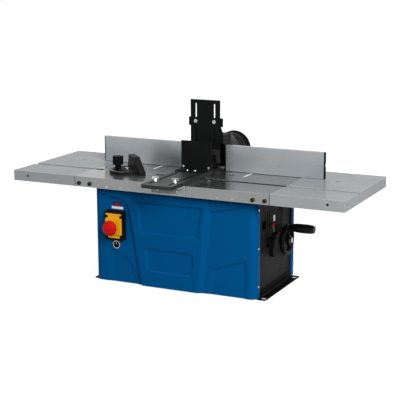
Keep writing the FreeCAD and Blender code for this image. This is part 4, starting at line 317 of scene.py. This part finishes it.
# Grey finish for the foot rail bends: a painted highlight along the bend.
BEND_HIGHLIGHT_GREY = moulded("rail_bend_highlight", linear(50, 51, 50), roughness=0.5, grain=1600, grain_strength=0.05,
                    rounded=0.0002, specular=0.1)
MARK_BLACK = moulded("black_marks", linear(26, 26, 26), roughness=0.5, grain=1600, grain_strength=0.05,
                     rounded=0.0002, specular=0.2)
MARK_WHITE = moulded("white_marks", linear(214, 216, 214), roughness=0.5, grain=1600, grain_strength=0.05,
                     rounded=0.0002, specular=0.2)
COVER_BLUE = moulded("blue_cover", linear(0, 79, 133), grain=1300, grain_strength=0.06, rounded=0.0016,
                     tone=0.02, specular=0.02)
RED_MOULDING = moulded("red_moulding", linear(196, 20, 20), roughness=0.34, grain=1900, grain_strength=0.05,
                       rounded=0.0012, tone=0.03, specular=0.06)
YELLOW_MOULDING = moulded("yellow_moulding", linear(230, 165, 20), roughness=0.32, grain=1900,
                          grain_strength=0.06, rounded=0.0012, tone=0.03, specular=0.2)
GREEN_MOULDING = moulded("green_moulding", linear(20, 118, 44), roughness=0.32, grain=1900, grain_strength=0.05)
BOARD_GREEN = moulded("circuit_board", linear(16, 62, 32), roughness=0.45, grain=900, grain_strength=0.05)
TURNED_STEEL = metal("turned_steel", linear(170, 170, 168), roughness=0.26, streak=ALONG_Z, streak_depth=0.06)
ROTOR_STEEL = metal("laminated_steel", linear(120, 115, 108), roughness=0.38, streak=FINE_ALL_WAYS,
                    streak_depth=0.12)
MOTOR_GREY = metal("die_cast", linear(130, 132, 134), roughness=0.48, streak=ALL_WAYS, streak_depth=0.16)

slot_finishes = {
    "table_grey": TABLE_GREY,
    "wing_grey": WING_GREY,
    "fence_alu": FENCE_GREY,
    "cover_blue": COVER_BLUE,
    "black_steel": MATT_BLACK,
    "black_plastic": BLACK_MOULDING,
    "black_alloy": CASTING_BLACK,
    "zinc": ZINC,
    "steel": TURNED_STEEL,
    "rotor_steel": ROTOR_STEEL,
    "motor_grey": MOTOR_GREY,
    "yellow_plastic": YELLOW_MOULDING,
    "red_plastic": RED_MOULDING,
    "green_plastic": GREEN_MOULDING,
    "board_green": BOARD_GREEN,
}
node_finishes = {
    "left_panel": PANEL_GREY,
    "right_panel": PANEL_GREY,
    "feet": FOOT_BLACK,
    "shoe_arm": SATIN_BLACK,
    "dust_port": GLOSS_BLACK,
    "lock_lever": FOOT_BLACK,
    "grip": GRIP_BLACK,
    "handwheel": GLOSS_BLACK,
    # Blackened steel on the fence bolts and on the parts inside the hood; on these it also paints in the shade
    # inside the hood.
    "fence_bolts": BLACK_OXIDE,
    "collet_nut": BLACK_OXIDE,
    "collet": BLACK_OXIDE,
    "spindle": BLACK_OXIDE,
    "table_ring": BLACK_OXIDE,
    "shoe_bracket": WING_GREY,
    "scale_plate": SCREW_STEEL,
}
for name, piece in nodes.items():
    piece.data.materials.clear()
    piece.data.materials.append(node_finishes.get(name, slot_finishes[slot_of_node[name]]))


# Trim and fasteners

NEARLY_UPRIGHT = 0.9
ROUND_SEGMENTS = 3
WELD_DISTANCE = 1e-5
END_TOLERANCE = 0.0003
WIDER_THAN_SHANK = 1.1
SMALLEST_SINE = 0.01


def new_piece(name, form, finish, body, sharp=35):
    """Turns a bmesh into a piece of the object that rides on a body."""
    bmesh.ops.recalc_face_normals(form, faces=form.faces)
    mesh = bpy.data.meshes.new(name)
    form.to_mesh(mesh)
    form.free()
    mesh.polygons.foreach_set("use_smooth", [True] * len(mesh.polygons))
    mesh.set_sharp_from_angle(angle=math.radians(sharp))
    mesh.materials.append(finish)
    piece = bpy.data.objects.new(name, mesh)
    bpy.context.scene.collection.objects.link(piece)
    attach(piece, body)
    return piece


def add_turned(form, rings, origin, direction, scale=1.0, segments=48):
    """Adds a turned form from rings of distance along and radius; a radius may be a function of the angle."""
    along = Vector(direction).normalized()
    other = Vector((0, 0, 1)) if abs(along.z) < NEARLY_UPRIGHT else Vector((1, 0, 0))
    across = along.cross(other).normalized()
    up = along.cross(across)
    previous = None
    for distance, radius in rings:
        centre = (Vector(origin) + along * distance) * scale
        if radius == 0:
            current = [form.verts.new(centre)]
        else:
            current = []
            for step in range(segments):
                angle = 2 * math.pi * step / segments
                reach = scale * (radius(angle) if callable(radius) else radius)
                outward = across * math.cos(angle) + up * math.sin(angle)
                current.append(form.verts.new(centre + outward * reach))
        if previous:
            for step in range(segments):
                after = (step + 1) % segments
                corners = [previous[step % len(previous)], previous[after % len(previous)],
                           current[after % len(current)], current[step % len(current)]]
                form.faces.new(list(dict.fromkeys(corners)))
        previous = current


def add_block(form, low, high, radius=0.0, turn=None):
    """Adds a block between two corners in millimetres, its edges rounded."""
    low, high = Vector(low) * MM, Vector(high) * MM
    size = high - low
    shape = (turn or Matrix.Identity(4)) @ Matrix.Translation((low + high) / 2) @ Matrix.Diagonal((*size, 1))
    corners = bmesh.ops.create_cube(form, size=1.0, matrix=shape)["verts"]
    if radius:
        edges = list({edge for corner in corners for edge in corner.link_edges})
        bmesh.ops.bevel(form, geom=edges, offset=radius * MM, segments=ROUND_SEGMENTS, profile=0.5,
                        affect="EDGES")


def hexagon(across_flats):
    """Outline of a hexagon socket."""
    def radius(angle):
        folded = (angle + math.pi / 6) % (math.pi / 3) - math.pi / 6
        return across_flats / 2 / math.cos(folded)
    return radius


def cross(reach, arm_width):
    """Outline of a cross recess."""
    def radius(angle):
        folded = (angle + math.pi / 4) % (math.pi / 2) - math.pi / 4
        return min(reach / math.cos(folded), arm_width / 2 / max(abs(math.sin(folded)), SMALLEST_SINE))
    return radius


def islands(name):
    """Vertex places of each separate solid of a CAD node."""
    form = bmesh.new()
    form.from_mesh(nodes[name].data)
    bmesh.ops.remove_doubles(form, verts=form.verts, dist=WELD_DISTANCE)
    seen, groups = set(), []
    for first in form.verts:
        if first in seen:
            continue
        seen.add(first)
        waiting, places = [first], []
        while waiting:
            vertex = waiting.pop()
            places.append(vertex.co.copy())
            for edge in vertex.link_edges:
                other = edge.other_vert(vertex)
                if other not in seen:
                    seen.add(other)
                    waiting.append(other)
        groups.append(places)
    form.free()
    return groups


def fastener(places):
    """Seat, direction to the head, and the sizes of a headed solid of revolution."""
    low = Vector([min(place[axis] for place in places) for axis in range(3)])
    high = Vector([max(place[axis] for place in places) for axis in range(3)])
    size = high - low
    axis = min(range(3), key=lambda k: abs(size[(k + 1) % 3] - size[(k + 2) % 3]))
    middle = (low + high) / 2
    along = Vector([k == axis for k in range(3)])
    radial = [((place - middle) - (place - middle).project(along)).length for place in places]
    head_radius = max(radial)
    ends = {}
    for sign, end in ((-1, low[axis]), (1, high[axis])):
        ends[sign] = max(r for place, r in zip(places, radial) if abs(place[axis] - end) < END_TOLERANCE)
    sign = max(ends, key=ends.get)
    shank_radius = ends[-sign]
    wide = [place[axis] for place, r in zip(places, radial) if r > shank_radius * WIDER_THAN_SHANK]
    seat = min(wide) if sign > 0 else max(wide)
    top = high[axis] if sign > 0 else low[axis]
    tip = low[axis] if sign > 0 else high[axis]
    origin = middle.copy()
    origin[axis] = seat
    direction = Vector([sign * (k == axis) for k in range(3)])
    return origin, direction, head_radius, abs(top - seat), shank_radius, abs(seat - tip)


SCREW_SHARP = 30


def detail_fasteners(node, finish, recess, depth_share, crown, head_share=1.0):
    """Replaces a node of plain headed solids by heads with a recess and a rounded rim."""
    form = bmesh.new()
    for places in islands(node):
        origin, direction, head, height, shank, length = fastener(places)
        head *= head_share
        floor_height = height * (1 - depth_share)
        add_turned(form, [
            (-length, 0), (-length, shank * 0.8), (-length + shank * 0.2, shank), (0, shank), (0, head * 0.97),
            (height * 0.08, head), (height * crown, head), (height * (crown + 1) / 2, head * 0.95),
            (height * 0.97, head * 0.86), (height, head * 0.76), (height, recess(head)),
            (floor_height, recess(head)), (floor_height, 0),
        ], origin, direction)
    piece = new_piece(node + "_detail", form, finish, body_of_node[node], SCREW_SHARP)
    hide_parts(node)


def socket(head):
    """Hexagon socket of a head, sized by its radius."""
    return hexagon(head * 0.95)


def driver_cross(head):
    """Cross recess of a head, sized by its radius."""
    return cross(head * 0.58, head * 0.24)


detail_fasteners("table_bolts", BLACK_OXIDE, socket, depth_share=0.75, crown=0.7)
detail_fasteners("cover_screws", SCREW_STEEL, driver_cross, depth_share=0.6, crown=0.35, head_share=0.8)
detail_fasteners("guard_screws", SCREW_STEEL, driver_cross, depth_share=0.55, crown=0.35)
detail_fasteners("shoe_bolts", ZINC, socket, depth_share=0.6, crown=0.35)

# Black end caps on the outer ends of the two fences, with a notch for the slot in the back
CAP_LENGTH = 3
CAP_FRONT_INSET = 0.1
CAP_INSET = 0.2
CAP_NOTCH_HALF = 4.5
CAP_NOTCH_DEPTH = 4.2
CAP_ROUND = 0.5
CAP_NOTCH_ROUND = 0.1
for name, body in (("left_fence", "left_board"), ("right_fence", "right_board")):
    low, high = (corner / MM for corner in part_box(name))
    x = (low.x - CAP_LENGTH, low.x) if name == "left_fence" else (high.x, high.x + CAP_LENGTH)
    middle_z = (low.z + high.z) / 2
    notch_low, notch_high = middle_z - CAP_NOTCH_HALF, middle_z + CAP_NOTCH_HALF
    front, back = low.y + CAP_FRONT_INSET, high.y - CAP_INSET
    form = bmesh.new()
    add_block(form, (x[0], front, low.z + CAP_INSET), (x[1], back, notch_low), CAP_ROUND)
    add_block(form, (x[0], front, notch_low), (x[1], high.y - CAP_NOTCH_DEPTH, notch_high), CAP_NOTCH_ROUND)
    add_block(form, (x[0], front, notch_high), (x[1], back, high.z - CAP_INSET), CAP_ROUND)
    new_piece(name + "_end_cap", form, BLACK_MOULDING, body)

# Blank label and the frame of the reset button
LABEL_CORNERS = ((-198, -150.8, 219.9), (-160.4, -149.8, 227.2))
LABEL_ROUND = 0.35
RESET_FRAME_CORNERS = ((-191, -151.4, 229.4), (-168.3, -149.8, 238.8))
RESET_FRAME_ROUND = 0.6
form = bmesh.new()
add_block(form, *LABEL_CORNERS, LABEL_ROUND)
new_piece("blank_label", form, LABEL_WHITE, "stand")
form = bmesh.new()
add_block(form, *RESET_FRAME_CORNERS, RESET_FRAME_ROUND)
new_piece("reset_frame", form, BLACK_MOULDING, "stand")

# Dark strips in the joints between the table and its wings, a painted shade standing in for the gap, open where
# the mitre slot crosses them
JOINT_X = 300.4
MITRE_SLOT_FRONT, MITRE_SLOT_BACK = -75.0, -55.0
SHADE_STRIP_REACH = 179.9
SHADE_STRIP_HALF = 0.35
SHADE_STRIP_Z = (311.25, 311.8)
SHADE_STRIP_ROUND = 0.1
FRONT_SHADE_STRIP_HALF = 0.9
FRONT_SHADE_STRIP_Y = (-180.15, -179.95)
FRONT_SHADE_STRIP_Z = (282.1, 311.5)
FRONT_SHADE_STRIP_ROUND = 0.08
form = bmesh.new()
for x in (-JOINT_X, JOINT_X):
    for y in ((-SHADE_STRIP_REACH, MITRE_SLOT_FRONT), (MITRE_SLOT_BACK, SHADE_STRIP_REACH)):
        add_block(form, (x - SHADE_STRIP_HALF, y[0], SHADE_STRIP_Z[0]), (x + SHADE_STRIP_HALF, y[1], SHADE_STRIP_Z[1]), SHADE_STRIP_ROUND)
    add_block(form, (x - FRONT_SHADE_STRIP_HALF, FRONT_SHADE_STRIP_Y[0], FRONT_SHADE_STRIP_Z[0]),
              (x + FRONT_SHADE_STRIP_HALF, FRONT_SHADE_STRIP_Y[1], FRONT_SHADE_STRIP_Z[1]), FRONT_SHADE_STRIP_ROUND)
new_piece("joint_shade_strips", form, JOINT_SHADE_BLACK, "stand")

# Pale strips in the front part of the fence slots
FENCE_SLOT_X = 145
STRIP_HALF = 4.45
STRIP_Y = (8.2, 67)
STRIP_Z = (308.5, 311.6)
STRIP_ROUND = 0.4
form = bmesh.new()
for x in (-FENCE_SLOT_X, FENCE_SLOT_X):
    add_block(form, (x - STRIP_HALF, STRIP_Y[0], STRIP_Z[0]), (x + STRIP_HALF, STRIP_Y[1], STRIP_Z[1]),
              STRIP_ROUND)
new_piece("slot_strips", form, STRIP_WHITE, "stand")

# Grey strip along the bend of each foot rail, where its web meets the flange: a painted highlight where the bend
# catches the light
FOOT_FLANGE = 24.0
BEND_SINK = 0.3
BEND_WIDTH = 1.5
BEND_END_GAP = 22
BEND_Z = (1.7, 2.5)
BEND_ROUND = 0.2
low, high = (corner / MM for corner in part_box("feet"))
form = bmesh.new()
for side, edge in ((-1, low.x), (1, high.x)):
    bend = edge - side * FOOT_FLANGE
    x = sorted((bend - side * BEND_SINK, bend + side * BEND_WIDTH))
    add_block(form, (x[0], low.y + BEND_END_GAP, BEND_Z[0]), (x[1], high.y - BEND_END_GAP, BEND_Z[1]),
              BEND_ROUND)
new_piece("foot_bend_highlights", form, BEND_HIGHLIGHT_GREY, "stand")

# Flush screws in the wings' tops, grub screws in their open holes, bright screws in their ends
FLUSH_SOCKET = hexagon(5.5)
GRUB_SOCKET = hexagon(3.2)
END_CROSS = cross(1.6, 0.8)
FLUSH_SCREW = [(-0.6, 0), (-0.6, 6), (-0.1, 6), (0.12, 5.6), (0.12, FLUSH_SOCKET), (-0.45, FLUSH_SOCKET),
               (-0.45, 0)]
GRUB_SCREW = [(-4, 0), (-4, 3.9), (-0.6, 3.9), (0, 3.3), (0, GRUB_SOCKET), (-3, GRUB_SOCKET), (-3, 0)]
END_SCREW = [(-1, 0), (-1, 3.2), (0, 3.2), (0.25, 2.6), (0.25, END_CROSS), (-0.3, END_CROSS), (-0.3, 0)]
TABLE_TOP = 312
FLUSH_X, FLUSH_Y = 408, 52.5
FRONT_GRUB_X, FRONT_GRUB_Y = 462, -178.6
END_GRUB_X, END_GRUB_Y = 508.6, 165
GRUB_Z = 298
END_SCREW_X, END_SCREW_Y, END_SCREW_Z = 509.7, 4, 297
form = bmesh.new()
bright = bmesh.new()
for side in (-1, 1):
    add_turned(form, FLUSH_SCREW, (side * FLUSH_X, FLUSH_Y, TABLE_TOP), (0, 0, 1), MM)
    add_turned(form, GRUB_SCREW, (side * FRONT_GRUB_X, FRONT_GRUB_Y, GRUB_Z), (0, -1, 0), MM)
    for y in (-END_GRUB_Y, END_GRUB_Y):
        add_turned(form, GRUB_SCREW, (side * END_GRUB_X, y, GRUB_Z), (side, 0, 0), MM)
    add_turned(bright, END_SCREW, (side * END_SCREW_X, END_SCREW_Y, END_SCREW_Z), (side, 0, 0), MM)
new_piece("wing_plugs", form, BLACK_OXIDE, "stand")
new_piece("wing_end_screws", bright, ZINC, "stand")

# Pointer with a red tip
TIP_THICKNESS = 3
TIP_WIDTH = 15
TIP_OVERLAP_WIDTH = 15.2
TIP_ROUND = 0.8
POINTER_ROOT = 4
POINTER_ROOT_ROUND = 0.2
POINTER_BLADE_INSET = 0.5
POINTER_FACE_INSET = 0.4
POINTER_BLADE_ROUND = 0.4
low, high = (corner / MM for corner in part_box("pointer"))
tip_x = high.x - TIP_THICKNESS
form = bmesh.new()
add_block(form, (low.x, high.y - POINTER_ROOT, low.z), (tip_x, high.y, high.z), POINTER_ROOT_ROUND)
add_block(form, (tip_x, low.y + TIP_WIDTH, low.z + POINTER_BLADE_INSET),
          (high.x - POINTER_FACE_INSET, high.y, high.z - POINTER_BLADE_INSET), POINTER_BLADE_ROUND)
pointer_arm = new_piece("pointer_arm", form, MATT_BLACK, "lift")
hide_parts("pointer")
form = bmesh.new()
add_block(form, (tip_x, low.y, low.z), (high.x, low.y + TIP_OVERLAP_WIDTH, high.z), TIP_ROUND)
new_piece("pointer_tip", form, RED_MOULDING, "lift")

# Graduations of the height scale, the mitre gauge and the dial
SCALE_STEPS = 20
SCALE_LONG_STEP = 5
SCALE_END_GAP = 3
SCALE_SIDE_GAP = 1
SCALE_LONG, SCALE_SHORT = 7.5, 4.5
SCALE_MARK_HALF = 0.25
SCALE_MARK_SINK, SCALE_MARK_RAISE = 0.05, 0.08
low, high = (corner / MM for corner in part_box("scale_plate"))
form = bmesh.new()
for step in range(SCALE_STEPS + 1):
    z = low.z + SCALE_END_GAP + (high.z - low.z - 2 * SCALE_END_GAP) * step / SCALE_STEPS
    y = low.y + SCALE_SIDE_GAP
    reach = SCALE_LONG if step % SCALE_LONG_STEP == 0 else SCALE_SHORT
    add_block(form, (high.x - SCALE_MARK_SINK, y, z - SCALE_MARK_HALF),
              (high.x + SCALE_MARK_RAISE, y + reach, z + SCALE_MARK_HALF))
new_piece("scale_marks", form, MARK_BLACK, "stand")

MITRE_PIVOT = Vector((-193, -65, 0))
MITRE_MIDDLE = 225
MITRE_SPAN = 60
MITRE_STEP = 5
MITRE_LONG_STEP = 15
MITRE_RADIUS = 51
MITRE_LONG, MITRE_SHORT = 8, 5
MITRE_MARK_HALF = 0.35
MITRE_MARK_Z = (320.25, 320.42)
form = bmesh.new()
for degrees in range(-MITRE_SPAN, MITRE_SPAN + 1, MITRE_STEP):
    turn = Matrix.Translation(MITRE_PIVOT * MM) @ Matrix.Rotation(math.radians(MITRE_MIDDLE + degrees), 4, "Z")
    reach = MITRE_LONG if degrees % MITRE_LONG_STEP == 0 else MITRE_SHORT
    add_block(form, (MITRE_RADIUS - reach, -MITRE_MARK_HALF, MITRE_MARK_Z[0]),
              (MITRE_RADIUS, MITRE_MARK_HALF, MITRE_MARK_Z[1]), 0, turn)
new_piece("mitre_marks", form, MARK_WHITE, "mitre_quadrant")

DIAL_LINE_HALF = 0.6
DIAL_LINE_RAISE, DIAL_LINE_SINK = 0.1, 0.4
DIAL_LINE_START, DIAL_LINE_END = 1.5, 6.5
DIAL_LINE_ROUND = 0.1
low, high = (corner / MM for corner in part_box("speed_dial"))
form = bmesh.new()
middle_x = (low.x + high.x) / 2
middle_z = (low.z + high.z) / 2
add_block(form, (middle_x - DIAL_LINE_HALF, low.y - DIAL_LINE_RAISE, middle_z + DIAL_LINE_START),
          (middle_x + DIAL_LINE_HALF, low.y + DIAL_LINE_SINK, middle_z + DIAL_LINE_END), DIAL_LINE_ROUND)
new_piece("dial_line", form, MARK_WHITE, "dial")

# Collar and ribs of the dust port, each a place along the port and an outer radius
PORT_Z = 345
PORT_RIBS = ((206, 52.4), (225, 51.6), (246, 51.6))
RIB_ROOT = 48.6
RIB_SHOULDER = 1.2
RIB_SEGMENTS = 64
form = bmesh.new()
for y, reach in PORT_RIBS:
    shoulder = reach - RIB_SHOULDER
    add_turned(form, [(0, RIB_ROOT), (2, shoulder), (3.2, reach), (6, reach), (7.2, shoulder), (8.5, RIB_ROOT),
                      (0, RIB_ROOT)], (0, y, PORT_Z), (0, 1, 0), MM, RIB_SEGMENTS)
new_piece("port_ribs", form, GLOSS_BLACK, "fence")


# Camera, light and floor

CAMERA_PLACE = (1.4138, -2.8920, 0.9420)
CAMERA_YAW = 0.4519
CAMERA_PITCH = 0.2169
CAMERA_ROLL = -0.0039
SENSOR_WIDTH = 36.0
FOCAL_SHARE = 2.8395
AIM = (0.0, 0.0, 0.25)
WHITE = (1, 1, 1, 1)

camera_data = bpy.data.cameras.new("camera")
camera_data.sensor_width = SENSOR_WIDTH
camera_data.lens = SENSOR_WIDTH * FOCAL_SHARE
camera = bpy.data.objects.new("camera", camera_data)
camera.matrix_world = (
    Matrix.Translation(CAMERA_PLACE)
    @ Matrix.Rotation(CAMERA_YAW, 4, "Z")
    @ Matrix.Rotation(math.pi / 2 - CAMERA_PITCH, 4, "X")
    @ Matrix.Rotation(CAMERA_ROLL, 4, "Z")
)
bpy.context.scene.collection.objects.link(camera)
bpy.context.scene.camera = camera


def area_light(name, place, size, power, in_gloss=True):
    """A round lamp that points at the object; in_gloss says whether shiny faces mirror it."""
    data = bpy.data.lights.new(name, "AREA")
    data.shape = "DISK"
    data.size = size
    data.energy = power
    lamp = bpy.data.objects.new(name, data)
    lamp.location = place
    lamp.visible_glossy = in_gloss
    lamp.rotation_euler = (Vector(AIM) - Vector(place)).to_track_quat("-Z", "Y").to_euler()
    bpy.context.scene.collection.objects.link(lamp)


area_light("key", (2.4, -2.2, 1.9), size=1.6, power=125)
area_light("fill", (-1.6, -3.0, 1.5), size=2.4, power=11)
area_light("top", (0.0, 0.2, 3.0), size=2.4, power=4)
area_light("back", (-1.7, 2.9, 1.4), size=2.0, power=45, in_gloss=False)


def seen_rays(tree):
    """1 for rays that show the background: from the camera, in gloss and through glass."""
    path = tree.nodes.new("ShaderNodeLightPath")
    total = path.outputs["Is Camera Ray"]
    for key in ("Is Glossy Ray", "Is Transmission Ray"):
        added = tree.nodes.new("ShaderNodeMath")
        added.operation = "ADD"
        added.use_clamp = True
        tree.links.new(total, added.inputs[0])
        tree.links.new(path.outputs[key], added.inputs[1])
        total = added.outputs["Value"]
    return total


AMBIENT = 0.38
world = bpy.data.worlds.new("studio")
world.use_nodes = True
tree = world.node_tree
ambient = tree.nodes["Background"]
ambient.inputs["Strength"].default_value = AMBIENT
ambient.inputs["Color"].default_value = WHITE
backdrop = tree.nodes.new("ShaderNodeBackground")
backdrop.inputs["Color"].default_value = WHITE
either = tree.nodes.new("ShaderNodeMixShader")
tree.links.new(seen_rays(tree), either.inputs["Fac"])
tree.links.new(ambient.outputs["Background"], either.inputs[1])
tree.links.new(backdrop.outputs["Background"], either.inputs[2])
tree.links.new(either.outputs["Shader"], tree.nodes["World Output"].inputs["Surface"])
bpy.context.scene.world = world
bpy.context.scene.view_settings.view_transform = "Standard"

FLOOR_HALF = 30.0
FLOOR_GLOW = 0.92
FLOOR_GREY = 0.20
floor_mesh = bpy.data.meshes.new("floor")
floor_corners = [(x * FLOOR_HALF, y * FLOOR_HALF, 0) for x, y in ((-1, -1), (1, -1), (1, 1), (-1, 1))]
floor_mesh.from_pydata(floor_corners, [], [(0, 1, 2, 3)])
floor = bpy.data.objects.new("floor", floor_mesh)
floor_shader = Shader("pale_floor")
floor_shader.principled.inputs["Base Color"].default_value = (FLOOR_GREY, FLOOR_GREY, FLOOR_GREY, 1)
floor_shader.constants(roughness=1.0, specular_ior_level=0.0)
floor_shader.principled.inputs["Emission Color"].default_value = WHITE
glow = floor_shader.arithmetic("MULTIPLY", seen_rays(floor_shader.tree), FLOOR_GLOW)
floor_shader.link(glow, floor_shader.principled.inputs["Emission Strength"])
floor_mesh.materials.append(floor_shader.material)
bpy.context.scene.collection.objects.link(floor)
